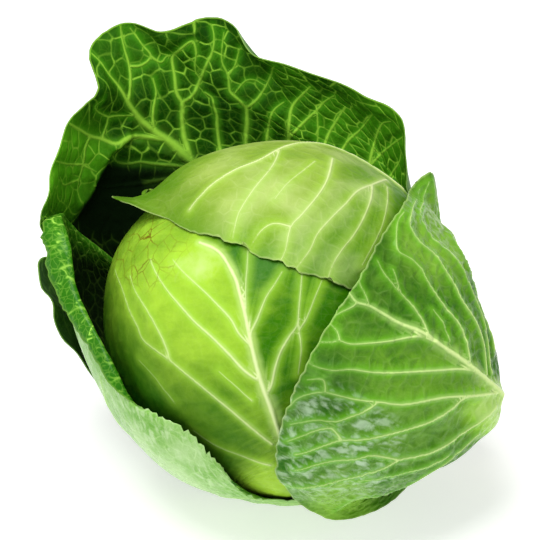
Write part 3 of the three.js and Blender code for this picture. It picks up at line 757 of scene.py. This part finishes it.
# The midrib's course, mm. The blade is deeper green to the right of it.
RIB_Y = -90, -75, -61, -46, -30, -13.5, 1, 11, 13.5
RIB_X = 6, 2.5, -2.5, -7, -10.5, -14.5, -20, -28.5, -35
right_of_rib = smooth(front_sheet[..., 0] - np.interp(front_sheet[..., 1], RIB_Y, RIB_X), -1, 6)
# Pale zone: painted light over the upper left with a painted highlight spot in it, less pale right of the
# midrib and paler by the foot. Dark zone: painted shade towards the lower-left edge, less by the foot and a
# little more right of the midrib. The third zone is the cracked skin on the crown.
front_zones = (
    0.45 + 0.3 * patch(front_sheet, -38, -8, 62) + 0.65 * patch(front_sheet, -35, 0, 26, 1.0)
    - 0.75 * right_of_rib * smooth(front_sheet[..., 1], -85, -60) + 0.35 * patch(front_sheet, -6, -106, 30),
    smooth((front_sheet - CENTRE) @ (-0.72, -0.69, 0), 0.32 * FRONT_RADIUS, 0.92 * FRONT_RADIUS)
    - 0.7 * patch(front_sheet, 2, -110, 26) + 0.12 * right_of_rib,
    patch(front_sheet, -62, 16, 30, 0.5))
mark_zones(front_leaf, front_sheet, front_zones, front_zones)
# Young skin: bright yellow-green that deepens beside the midrib, with old scuffs cracked brown, under a
# painted highlight and painted shade.
front_leaf.data.materials.append(leaf_finish(
    "head leaf skin, young, painted highlight", ("#337002", "#A0CA36", "#165000", "#9CCE38", "#E4F0B2"),
    net_show=(0.03, 0.03), mesh_show=0.02, halo_reach=6.0, halo_show=0.55, vein_show=0.8, roughness=0.3,
    gloss=0.08, mottle=1.5, streaky=0.7, crack="#6E5A14"))
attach(front_leaf, "root")
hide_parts("front_head_leaf")

# ---- Top wrapper leaf ----
# The paler leaf folded down over the crown from behind, with a dull coat of wax under a painted sheen.
# Its front margin lies on the front leaf, and its tip has dried and curled up at the left.
WRAPPER_RADIUS = 90.8
wrapper_sheet = leaf_sheet(
    (20, -60, 90), [],
    [np.vstack([near(WRAPPER_RADIUS, front), far(WRAPPER_RADIUS, behind)]) for front, behind in (
        ([(80, -38), (88, 0)], [(82, -12)]),
        ([(52, -16), (62, 20), (66, 38)], [(64, 16)]),
        ([(27, -6), (38, 32), (44, 52)], [(42, 38)]),
        ([(2, 3), (10, 38), (14, 62)], [(12, 50)]),
        ([(-25, 15), (-20, 42), (-20, 60)], [(-18, 53)]),
        ([(-42.5, 20), (-42, 40), (-42, 50)], [(-42, 48)]),
        ([(-54, 28), (-57, 34), (-59, 38)], [(-56, 40)]))]
    + [free((-66, 33.5, 35), (-68, 35, 28), (-68, 36.5, 18), (-63, 38, 5)),
       free((-76, 36.5, 25), (-78, 38.5, 20), (-77, 38.5, 14), (-73, 38, 8))],
    [], across=200, along=200)
wrapper_veins = seen_courses(wrapper_sheet, 0.6, [
    (1.6, 0.9, (67.5, 41.5), (55, 50), (41, 59), (25, 62.5), (8.5, 61.5), (-5, 55), (-16.5, 50), (-25, 45),
     (-32.5, 39), (-40, 30)),
    (0.8, 0.3, (6, 60), (2.5, 54), (-1.5, 47.5), (-7.5, 40), (-15, 29), (-17.5, 22.5), (-19, 16.5)),
    (1.0, 0.4, (31, 55), (28.5, 45), (23.5, 36.5), (16, 27.5), (10.5, 21.5), (7.5, 10), (3.5, 1.5)),
    (0.8, 0.3, (10.5, 21.5), (4, 23), (0, 22.5), (-5, 19), (-10, 12.5)),
    (1.1, 0.4, (58, 45), (51, 42.5), (43.5, 39), (37.5, 32.5), (30, 25), (23.5, 17.5), (20, 10),
     (13.5, 1.5)),
    (1.0, 0.4, (51, 42.5), (50, 35), (46, 25), (41, 16.5), (35, 9), (31, 1.5), (29, -5)),
    (0.7, 0.3, (58.5, 41.5), (57.5, 29), (55, 20), (50, 10), (46, 2.5)),
    (0.5, 0.2, (22.5, 54), (16, 49), (8.5, 42.5), (2.5, 35)),
])
wrapper_leaf, wrapper_sheet = grow_leaf("top_wrapper_leaf_blade", wrapper_sheet, wrapper_veins, cell=8,
                                        seed=31, roll=(0.9, 50), frill=(0.5, 18), settle=2.2, pillow=0.3,
                                        ridge=(0.6, -0.1), nibble=(0.002, 0.045), every=(1, 2))
# Pale zone: painted light over the crown and at the left. Dark zone: painted shade low on the right and at
# the left, and darker in the curled tip. The third zone spreads the wax and its painted sheen over the crown.
wrapper_zones = (
    0.05 + 0.6 * patch(wrapper_sheet, 2, 52, 58) + 0.3 * patch(wrapper_sheet, -45, 36, 34),
    0.3 * patch(wrapper_sheet, 45, 0, 50) + 0.3 * patch(wrapper_sheet, -45, 28, 30)
    + 0.7 * patch(wrapper_sheet, -76, 37, 14),
    0.7 * patch(wrapper_sheet, 20, 46, 80))
mark_zones(wrapper_leaf, wrapper_sheet, wrapper_zones, wrapper_zones)
# Older skin under rubbed wax: a flat, greyish yellow-green with few real highlights, painted light and a
# painted sheen over the crown, and painted shade low on the right.
wrapper_leaf.data.materials.append(leaf_finish(
    "wrapper leaf skin, waxy and dull", ("#4E8604", "#A4BC48", "#4C7410", "#9AC43A", "#E6F0AE"),
    net_show=(0.12, 0.12), mesh_show=0.03, halo_reach=7.0, halo_show=0.6, vein_show=0.9, roughness=0.42,
    gloss=0.12, wax="#D2E0B0", glint_show=0.06, bloom_and_sheen_show=0.28, mottle=1.3, streaky=0.0, hem=0.2))
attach(wrapper_leaf, "root")
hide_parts("top_wrapper_leaf")

# ---- Left outer leaf ----
# A loose green leaf that cups the head from below and rolls over at the left.
# Its pale underside faces out, and the roll shows the darker, netted upper face.
LEFT_RADIUS = 91.4
left_sheet = leaf_sheet(
    (235, 55, 93), [(0.35, LEFT_RADIUS), (0.7, LEFT_RADIUS)],
    [away_from_stalk([(168, 48), (180, 62), (200, 74), (220, 80), (240, 80), (258, 70), (270, 55)],
                     LEFT_RADIUS),
     np.vstack([near(LEFT_RADIUS, [(45, -106), (15, -114.5)]),
                free((-10, -111, 32), (-25, -96, 52), (-40, -82, 60), (-58, -74, 54), (-70, -66, 46),
                     (-80, -50, 40), (-90, -32, 30), (-99, -10, 20), (-104, 10, 12), (-104, 23, -1),
                     (-98, 18, -20), (-82, 4, -42), (-58, -14, -62), (-22, -46, -84))]),
     np.vstack([near(LEFT_RADIUS, [(46, -103), (16, -113)]),
                free((-10, -112, 31), (-26, -93, 54), (-39, -77.5, 63), (-56, -69, 56), (-66, -66, 47),
                     (-76, -50, 46), (-85, -32, 40), (-97, -8, 28), (-100, 14, 22), (-106, 27, 4),
                     (-101, 22, -17), (-84, 8, -40), (-60, -11, -61), (-23, -44, -85))]),
     np.vstack([near(LEFT_RADIUS, [(47, -101.5), (16, -112)]),
                free((-9.5, -112, 30.5), (-27, -91.5, 55), (-39, -76, 64), (-57, -67.5, 57), (-71, -64, 50),
                     (-84, -50, 44), (-92, -36, 36), (-108, -10, 24), (-115, 16, 16), (-111, 26, 8),
                     (-103, 24, -15), (-85, 10, -39), (-61, -9, -60), (-23, -42, -85))])],
    [0, 2, 0, 0], across=200, along=190)
# The pale stretch of the margin ends in blunt teeth 5 mm apart, cut back to where the roll starts.
TOOTH_SPACING, TOOTH_SHARE, ROLL_SHARE = 5.0, 0.02, 0.03
margin_run = np.append(0, np.linalg.norm(np.diff(left_sheet[-1], axis=0), axis=1).cumsum())
notch = 1 - np.abs(np.sin(np.pi * margin_run / TOOTH_SPACING + swell(left_sheet[-1], 18, 47)))
cut = (ROLL_SHARE + TOOTH_SHARE * notch) * (1 - smooth(margin_run / margin_run[-1], 0.3, 0.4))
down, over = np.linspace(0, 1, len(left_sheet))[:, None], np.linspace(0, 1, len(cut))
left_sheet = at_share(left_sheet, down * (1 - cut * down ** MARGIN_ONLY), over + 0 * down)
left_veins = chart_courses(left_sheet, [
    (2.8, 0.8, (0, 0.5), (0.15, 0.5), (0.35, 0.49), (0.55, 0.47), (0.75, 0.46), (0.88, 0.45)),
    *side_ribs(0.49, (0.04, 0.12, 0.22, 0.34, 0.48), (0.5, 0.68, 0.82, 0.93, 0.98), 1.1)])
left_leaf, left_sheet = grow_leaf("left_outer_leaf_blade", left_sheet, left_veins, cell=7.5, seed=43,
                                  roll=(0.6, 50), frill=(0.4, 14), pillow=0.22, ridge=(0.6, -0.1),
                                  nibble=(0.005, 0.002))
# The upper face is in painted shade except where it rolls out at the margin; the underside carries wax with
# painted glints and sheen all over, most low on the left.
out_of_light = 1 - smooth(np.linspace(0, 1, len(left_sheet)), 0.87, 0.95)[:, None]
mark_zones(left_leaf, left_sheet,
           (0.4, 0.0, 0.4 + 0.6 * patch(left_sheet, -45, -85, 60)),
           (0.3, out_of_light, 0.0))
# The underside is light and bluish with a painted sheen and painted glints on its wax, the upper face deep
# green with a bright net and painted shade.
left_leaf.data.materials.append(leaf_finish(
    "loose leaf skin, pale underside", ("#62A02E", "#92C45E", "#3E7A1C", "#84BE4C", "#C4E49C"),
    ("#1E6006", "#4C941A", "#081C02", "#52A41A", "#B4E85C"),
    net_show=(0.5, 1.0), net_line=0.34, mottle=1.4, halo_reach=3.0, roughness=0.3, gloss=0.15,
    wax="#CDE4B4", glint_show=0.5, bloom_and_sheen_show=0.45, streaky=0.35, flank_show=0.45, glint=0.1, hem=0.25))
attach(left_leaf, "root")
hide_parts("left_outer_leaf")

# ---- Lower back outer leaf ----
# A dark, half-hidden leaf behind the left one, held in by the weight of the head.
# Only its crinkled edge shows from in front.
lower_sheet = leaf_sheet(
    (228, 50, 101), [(0.2, 97.5), (0.45, [97.5, 97.5, 98.5, 99.5, 98]), (0.7, [97.5, 98, 105, 109, 103])],
    [free((62, -96, -36), (15, -117, -36), (-29, -109, -38), (-61, -88, -35), (-84, -61, -30),
          (-95, -45, -27), (-104, -33.5, -26), (-108.5, -25, -26), (-110.8, -15.5, -27), (-116.5, -8, -30),
          (-118, 4, -35), (-112, 6, -46), (-102, -6, -57), (-84, -26, -70))],
    [], across=130, along=110)
lower_veins = chart_courses(lower_sheet, [
    (2.8, 0.8, (0, 0.5), (0.2, 0.5), (0.4, 0.51), (0.6, 0.53), (0.8, 0.54), (0.96, 0.55)),
    *side_ribs(0.51, (0.05, 0.15, 0.27, 0.4, 0.55), (0.55, 0.72, 0.86, 0.95, 0.99), 1.1)])
lower_leaf, lower_sheet = grow_leaf("lower_back_outer_leaf_blade", lower_sheet, lower_veins, cell=8, seed=53,
                                    roll=(1.0, 50), frill=(1.6, 22), pillow=0.3)
# Painted shade: 0.6 on the upper face, 0.2 on the underside, which also has a faint wax.
mark_zones(lower_leaf, lower_sheet, (0.25, 0.2, 0.3), (0.25, 0.6, 0.0))
# Tough old skin: dark, with a dull shine, and darker still with painted shade, most on its upper face.
lower_leaf.data.materials.append(leaf_finish(
    "old leaf skin, dark", ("#3C6E22", "#6C9C48", "#1C4410", "#5C9034", "#A2C874"),
    ("#285C10", "#4F8C24", "#0E2804", "#4A8A22", "#94C454"), net_show=(0.5, 0.6), roughness=0.42, gloss=0.2))
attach(lower_leaf, "root")
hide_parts("lower_back_outer_leaf")

# ---- Back outer leaf ----
# The big dark leaf that stands up behind the head like a fan, with a lobed, wavy margin.
# It shows its upper face, where pale veins part the quilted blade.
back_sheet = leaf_sheet(
    (-35, -50, 108), [(0.2, 102), (0.4, [99, 99, 99, 101, 103]), (0.62, [101, 101, 101, 102, 104])],
    [free((74, 5, -62), (64, 40, -60), (58, 58, -57), (42, 68, -58), (10, 76, -64), (-20, 84, -68),
          (-50, 82, -66), (-74, 64, -56), (-90, 44, -46), (-99, 18, -42), (-86, -6, -62)),
     free((68.5, 42, -38), (69.5, 59.5, -34), (66, 78.5, -34), (46.5, 90, -38), (24.5, 99.5, -42),
          (-6, 109, -46), (-20.5, 124.5, -46), (-34, 128.5, -46), (-56, 121, -44), (-73, 126, -42),
          (-87, 118.5, -34), (-92, 109.5, -28), (-87.5, 92.5, -20), (-94, 83.5, -14), (-101.5, 73, -6),
          (-109, 51, 4), (-111.5, 39, 14), (-114.5, 31, 14), (-115, 20, -14), (-100, 2, -48))],
    [], across=290, along=264)
# The left end of the fan is creased: it stands forward along this line, and the push, in mm, dies
# away over 16 mm on the outer side of the line and over 4 mm on the inner side.
CREASE_Y = 20, 30, 40, 47.5, 57.5, 62.5, 66
CREASE_X = -104, -97.5, -90, -87.5, -82.5, -76, -72
CREASE_PUSH, OUTER_FADE, INNER_FADE = (2.5, 0.0, 6.0), 16, 4
back_seen = back_sheet[..., :2] * (VIEW_DISTANCE / (VIEW_DISTANCE - back_sheet[..., 2:]))
beyond = back_seen[..., 0] - np.interp(back_seen[..., 1], CREASE_Y, CREASE_X)
fold = np.where(beyond < 0, np.exp(beyond / OUTER_FADE), 1 - smooth(beyond, 0, INNER_FADE))
fold *= smooth(back_seen[..., 1], 20, 34) * (1 - smooth(back_seen[..., 1], 60, 74))
back_sheet += fold[..., None] * CREASE_PUSH
back_veins = seen_courses(back_sheet, 1.0, [
    (3.0, 2.4, (72, -40), (58, -18), (35, 8), (10, 28), (-15, 42), (-37.5, 52.5)),
    (2.4, 0.45, (-37.5, 52.5), (-44, 59), (-50, 64), (-57.5, 69), (-64, 74), (-69, 80), (-72.5, 85),
     (-76.5, 91.5), (-81.5, 97.5), (-85, 103), (-89.5, 108)),
    (1.4, 1.1, (-36, 50), (-39, 55), (-42, 62.5), (-44, 72.5), (-44, 84)),
    (0.9, 0.4, (-44, 84), (-47, 89), (-48, 97.5), (-49, 106), (-45, 110.5), (-39, 114.5), (-37, 109),
     (-37.5, 104), (-37, 99), (-35, 96.5)),
    (1.0, 0.4, (-44, 84), (-39, 87.5), (-35.5, 94), (-32.5, 101.5), (-29, 109), (-28, 116.5), (-29, 122)),
    (1.2, 0.5, (-22, 45), (-25, 60), (-26.5, 72.5), (-26.5, 77.5), (-28, 82.5), (-29, 86.5), (-32.5, 89)),
    (1.4, 0.9, (-8, 42), (-12, 64), (-11.5, 72.5), (-11.5, 81.5)),
    (0.8, 0.3, (-11.5, 81.5), (-16.5, 86.5), (-20, 90), (-21, 97.5), (-24, 104), (-24, 111.5), (-23, 119)),
    (0.8, 0.3, (-11.5, 81.5), (-6.5, 85.5), (-2, 92), (1, 99), (2, 102)),
    (0.6, 0.25, (-21, 97.5), (-17.5, 102.5), (-15, 111.5)),
    (0.5, 0.3, (-17, 89), (-12.5, 94.5), (-7.5, 95), (-2, 92)),
    (1.0, 0.4, (-1, 50), (-1.5, 65), (0, 75), (2, 80), (7, 84)),
    (1.3, 0.5, (8, 45), (9.5, 65), (9.5, 72.5), (11, 81.5), (16, 87.5), (20, 91.5)),
    (0.9, 0.4, (10, 66), (17, 74), (23.5, 80), (27, 84), (32, 87)),
    (0.5, 0.3, (23.5, 80), (24, 66), (24, 50)),
    (1.1, 0.4, (24, 50), (28.5, 66), (32.5, 73.5), (37.5, 81.5)),
    (0.9, 0.3, (32, 52), (38.5, 64), (45, 70), (51, 77.5)),
    (1.0, 0.4, (48, 45), (50, 54), (51.7, 61.7), (53.3, 66.7), (56.2, 73.3), (60.8, 74.6)),
    (0.7, 0.3, (52, 50), (55, 57.5), (61.7, 63.3), (67.5, 67)),
    (0.6, 0.4, (55, 57.5), (51.7, 61.7)),
    (0.7, 0.3, (56, 40), (61.7, 49.2), (65.4, 55), (66.5, 60)),
    (1.0, 0.4, (-58, 69), (-59, 75), (-59, 81), (-57.5, 89), (-59, 96)),
    (1.0, 0.4, (-71, 86), (-70.5, 94), (-71, 102.5), (-73, 110), (-74.5, 119), (-74.5, 122)),
    (0.7, 0.3, (-71, 102), (-65, 102.5), (-60, 107), (-64, 112.5), (-67.5, 117.5), (-70, 121)),
    (0.6, 0.3, (-60, 107), (-55, 104), (-52, 107), (-50, 110)),
    (1.3, 0.6, (-52, 65), (-60, 66.5), (-67.5, 67), (-72.5, 65), (-77, 63), (-84, 65.5), (-90, 67),
     (-95, 70), (-100, 73)),
    (0.8, 0.4, (-84, 66), (-82, 72.5), (-81, 76.5), (-75, 77.5), (-68, 76)),
    (0.6, 0.3, (-81, 76.5), (-86, 79), (-89, 82.5), (-85, 86)),
    (1.0, 0.4, (-35, 49), (-42.5, 51.5), (-50, 52.5), (-57.5, 53), (-65, 54), (-71.5, 53), (-77.5, 55),
     (-79, 60)),
    (1.1, 0.6, (-38, 44), (-50, 45.5), (-57.5, 44.5), (-65, 43), (-75, 42), (-82.5, 41.5), (-87.5, 42)),
    (0.8, 0.4, (-90, 67), (-92.5, 60), (-93, 52.5), (-95, 45), (-95.5, 39), (-94, 34)),
    (0.7, 0.3, (-93, 52.5), (-101.5, 53), (-107.5, 54.5)),
    (0.6, 0.3, (-93, 52.5), (-86.5, 49)),
    (0.6, 0.3, (-95, 45), (-102.5, 42.5), (-105, 46.5)),
])
back_leaf, back_sheet = grow_leaf("back_outer_leaf_blade", back_sheet, back_veins, cell=11, seed=61,
                                  roll=(1.0, 55), frill=(1.2, 30), pillow=0.5, ridge=(0.7, 0.12),
                                  nibble=(0.003, 0.003), every=(2, 1))
# Painted shade in the crease beside the flap. The upper face has painted light on the flap at the left, over
# 1 a painted highlight, and is lighter in three other patches; painted shade also lies below the flap and in
# a patch in the middle.
painted_fold_shade = smooth(beyond, -0.5, 3) * (1 - smooth(back_seen[..., 1], 46, 64)) * (1 - smooth(beyond, 40, 60))
mark_zones(
    back_leaf, back_sheet, (0.3, 0.1, 0.4),
    (1.0 * patch(back_sheet, -108, 56, 36) + 0.25 * patch(back_sheet, -74, 112, 34)
     + 0.4 * patch(back_sheet, 50, 66, 44) + 0.2 * patch(back_sheet, 0, 98, 34),
     painted_fold_shade + 0.3 * patch(back_sheet, -22, 88, 36) + 0.45 * patch(back_sheet, -84, 38, 24), 0.0))
# The upper face is nearly black-green between bright veins, darker still with painted shade in the crease,
# the underside greyer and paler.
back_leaf.data.materials.append(leaf_finish(
    "fan leaf skin, dark and quilted", ("#44762A", "#6E9C4A", "#285418", "#6A9A44", "#AACC7C"),
    ("#174604", "#56A616", "#061802", "#429010", "#A2DA44"),
    net_show=(0.5, 1.0), net_line=0.38, halo_reach=4.5, halo_show=0.75, vein_show=0.95, gloss=0.1,
    mesh_show=0.06, mesh_size=4.2, streaky=0.2, flank_show=0.12))
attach(back_leaf, "root")
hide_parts("back_outer_leaf")

# ---- Right outer leaf ----
# The glossy leaf that folds across the front from the stalk, with its thick midrib outside.
# Long side veins fan out from the bulge where the leaf stalk turns the corner.
right_sheet = leaf_sheet(
    (110, 50, 108), [(0.18, [102, 106, 118, 110, 101]), (0.4, [97, 100, 111, 104, 99]),
                     (0.62, [96, 98, 102, 100, 100]), (0.82, [96, 96, 97, 99, 101])],
    [np.vstack([free((96, -22, -34), (92, 8, -34), (86, 34, -22), (82.5, 50, -4)),
                near(97, [(71.5, 43), (65, 32.5), (54, 16), (45, 1), (39.5, -9)]),
                near(94, [(29.5, -22.5), (19, -41), (12.5, -53.5), (8, -64), (4, -76)]),
                near(95.5, [(2, -90), (2, -99), (6, -107), (12, -115)]),
                free((24, -122.5, 20), (31, -125, 12), (48, -122.5, 2), (66, -113, -8), (79, -97, -26),
                     (86, -82, -36))])],
    [], across=300, along=260)
# The rib bows out 3 mm more where it turns the corner, 115 mm from the middle of the head.
proud = 3 * patch(right_sheet, 113, -75, 16, 0.95) / 115
right_sheet += proud[..., None] * (right_sheet - CENTRE)
right_veins = seen_courses(right_sheet, 0.6, [
    (3.2, 0.9, (115, -62.5), (112.5, -59.5), (107.5, -54.5), (100, -48), (93.5, -43), (86, -38),
     (78.5, -33), (72.5, -30), (65, -27), (57.5, -22.5), (50, -18), (43.5, -16), (38.5, -10.5)),
    (0.8, 0.3, (43.5, -16), (42, -18), (36, -21), (33, -23)),
    (1.1, 0.4, (84, -36.8), (76, -33.5), (70, -33.5), (60, -35.5), (50, -36.5), (40, -37), (35, -35.5),
     (31, -36), (24.5, -36)),
    (0.7, 0.3, (35, -35.5), (33.5, -30.5), (30.5, -27)),
    (1.2, 0.4, (106, -53.5), (102, -50.5), (96, -49.5), (87.5, -50), (77.5, -50.5), (67.5, -51),
     (58.5, -51.5), (50, -51), (40, -49.5), (30, -50), (20, -47), (20.5, -42.5)),
    (1.3, 0.4, (114, -62), (107.5, -62), (97.5, -63), (87.5, -63.5), (77.5, -65), (65, -67), (55, -66),
     (45, -65), (36, -63), (27.5, -61), (20, -62), (13.5, -64.5), (10, -68.5)),
    (0.8, 0.3, (53.5, -68), (47.5, -70.5), (40, -73.5), (32.5, -76), (23.5, -75), (15, -76.5), (10, -77.5)),
    (0.7, 0.3, (27.5, -61), (27.5, -57.5), (26, -54.5), (18.5, -55)),
    (1.2, 0.4, (108, -64), (98, -63.5), (92.5, -67.5), (85, -72.5), (76, -77), (67.5, -80), (58.5, -82.5),
     (46, -85), (36, -85.5), (27.5, -88), (20, -90.5), (12.5, -92.5)),
    (0.8, 0.3, (36, -85.5), (32.5, -81), (29.5, -79.5), (22.5, -80.5), (15, -83.5), (8.5, -86)),
    (1.2, 0.4, (112, -68), (108, -73), (102.5, -77.5), (93.5, -83.5), (85, -88.5), (76, -92.5), (65, -95),
     (57.5, -98.5), (47.5, -102), (37.5, -104.5), (27.5, -107), (17.5, -108.5), (8.5, -110)),
    (0.8, 0.3, (65, -95), (57.5, -93.5), (50, -92.5), (42.5, -94.5), (32.5, -95.5), (22.5, -97.5),
     (12.5, -100)),
    (0.9, 0.35, (104, -82), (92.5, -91.5), (80, -100), (70, -107), (60, -112.5), (50, -113.5), (41, -116),
     (34, -121)),
    (0.7, 0.3, (88, -92), (77.5, -97.5), (70, -100), (60, -103), (52.5, -104.5), (44, -105.5)),
    (0.9, 0.35, (80, -31), (76, -26), (71, -18.5), (65, -12), (60, -6), (56, 0), (54, 5)),
    (0.6, 0.3, (65, -12), (63.5, -7.5), (61, 0)),
    (0.6, 0.3, (50, -17.5), (47.5, -11), (45.5, -6), (46, -1)),
    (1.0, 0.35, (101, -45), (97.5, -35), (93.5, -26), (87.5, -18.5), (82.5, -12), (77.5, -5), (75, 0),
     (70, 5), (64.5, 9), (63.5, 16.5), (64.5, 25), (67, 29)),
    (1.1, 0.35, (109, -52), (107.5, -41), (105, -32.5), (101, -23.5), (96, -15), (92.5, -7.5), (87.5, 0),
     (82.5, 7.5), (76, 12.5), (71, 19), (70, 26.5), (73.5, 35), (80, 44)),
    (1.0, 0.35, (111, -52), (110, -43.5), (108, -31), (105, -21), (100, -10), (96, -1), (90, 9), (83.5, 15),
     (78.5, 22.5), (76, 30), (77.5, 37.5), (81, 45)),
    (0.9, 0.35, (112, -40), (110, -28.5), (106, -17.5), (102.5, -7.5), (97.5, 4), (92.5, 16.5), (87.5, 25),
     (83.5, 35), (82.5, 45)),
    (0.6, 0.3, (90, -36), (86, -26), (81, -20)),
])
right_leaf, right_sheet = grow_leaf("right_outer_leaf_blade", right_sheet, right_veins, cell=8, seed=71,
                                    roll=(1.1, 45), frill=(0.8, 22), settle=1.5, pillow=0.85,
                                    ridge=(0.9, -0.1), nibble=(0.012, 0.006), every=(1, 2))
# Pale zone: the bulge where the rib turns, pale in itself and over 1 with a painted highlight, and painted
# light on the lower lobe and the upper right. Dark zone: painted shade along the left margin. The third zone:
# wax with painted glints low on the left and along the bottom, and a faint painted sheen at the upper right.
right_zones = (
    0.15 + 1.1 * patch(right_sheet, 112, -70, 22) + 0.2 * patch(right_sheet, 70, -60, 50)
    + 0.5 * patch(right_sheet, 36, -117, 24) + 0.45 * patch(right_sheet, 84, 22, 38),
    0.5 * patch(right_sheet, 16, -54, 38) + 0.35 * patch(right_sheet, 48, -6, 40),
    0.8 * patch(right_sheet, 24, -84, 50) + 0.4 * patch(right_sheet, 66, -94, 44)
    + 0.34 * patch(right_sheet, 88, 26, 34))
mark_zones(right_leaf, right_sheet, right_zones, (0.6, 0.0, 0.0))
# Grown skin under a full coat of wax: clean highlights on green, with painted glints in milky panes low on
# the left.
right_leaf.data.materials.append(leaf_finish(
    "outer leaf skin, glossy, painted glints", ("#286804", "#94CA3C", "#143E0C", "#68B01E", "#DAF29C"),
    ("#2E7A0C", "#62B020", "#143A08", "#58A420", "#98CC50"),
    wax="#C2DCBC", net_show=(0.09, 0.3), mesh_show=0.02, halo_reach=5.0, halo_show=0.72, vein_show=1.0,
    roughness=0.26, gloss=0.13, glint_show=0.68, bloom_and_sheen_show=0.1, glint=0.15, cushion=0.3, streaky=0.6, hem=0.3))
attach(right_leaf, "root")
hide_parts("right_outer_leaf")

# ---- Floor, light and camera ----
# A plain white floor, with one large soft lamp overhead and a weak one on each side.
# An even white room fills the shadows, so the head stands on white with hardly a shadow.
FLOOR_SIZE = 8          # m
ROOM_FILL = 0.28        # how strongly the white room fills the shadows
LAMP_TARGET = np.array([0, 0, 0.1])
bpy.ops.mesh.primitive_plane_add(size=FLOOR_SIZE)
sweep = bpy.context.object
sweep.name = "floor_sweep"
# Matt white card that glows a little, so that it stays white where the lamps fade.
white_card, put = new_finish("white card, matt")
put("OutputMaterial", [put("BsdfPrincipled", {
    "Base Color": linear("#D8D8D7"), "Roughness": 0.9, "Emission Color": linear("#FFFFFF"),
    "Emission Strength": 0.58})])
sweep.data.materials.append(white_card)

# Square soft lamps: place and size in metres, power in watts.
for name, place, size, power in (("key_softbox", (-0.3, -0.3, 1.55), 0.9, 26),
                                 ("left_softbox", (-1.2, -0.8, 0.5), 0.8, 3),
                                 ("right_softbox", (1.1, -0.6, 0.9), 0.8, 3)):
    lamp = bpy.data.lights.new(name, "AREA")
    lamp.size, lamp.energy = size, power
    holder = bpy.data.objects.new(name, lamp)
    holder.location = place
    aim = LAMP_TARGET - place
    holder.rotation_euler = (math.atan2(math.hypot(aim[0], aim[1]), -aim[2]), 0, math.atan2(-aim[0], aim[1]))
    bpy.context.scene.collection.objects.link(holder)

# The walls look white themselves but give only a weak fill.
room = bpy.data.worlds.new("white_room")
room.use_nodes = True
walls, put = room.node_tree.nodes["Background"], partial(add_node, room.node_tree)
walls.inputs["Color"].default_value = linear("#FFFFFF")
brightness = put("Math", (put("LightPath").outputs["Is Camera Ray"], 1 - ROOM_FILL, ROOM_FILL),
                 operation="MULTIPLY_ADD")
room.node_tree.links.new(brightness.outputs[0], walls.inputs["Strength"])
bpy.context.scene.world = room
bpy.context.scene.view_settings.view_transform = "Standard"

SENSOR, FOCAL_LENGTH, CLIP_END = 36, 320, 20        # mm, mm, m
lens = bpy.data.cameras.new("camera")
lens.sensor_width, lens.lens, lens.clip_end = SENSOR, FOCAL_LENGTH, CLIP_END
camera = bpy.data.objects.new("camera", lens)
camera.location = to_table([[0, 0, VIEW_DISTANCE]])[0]
camera.rotation_euler = (LEAN, 0, 0)
bpy.context.scene.collection.objects.link(camera)
bpy.context.scene.camera = camera
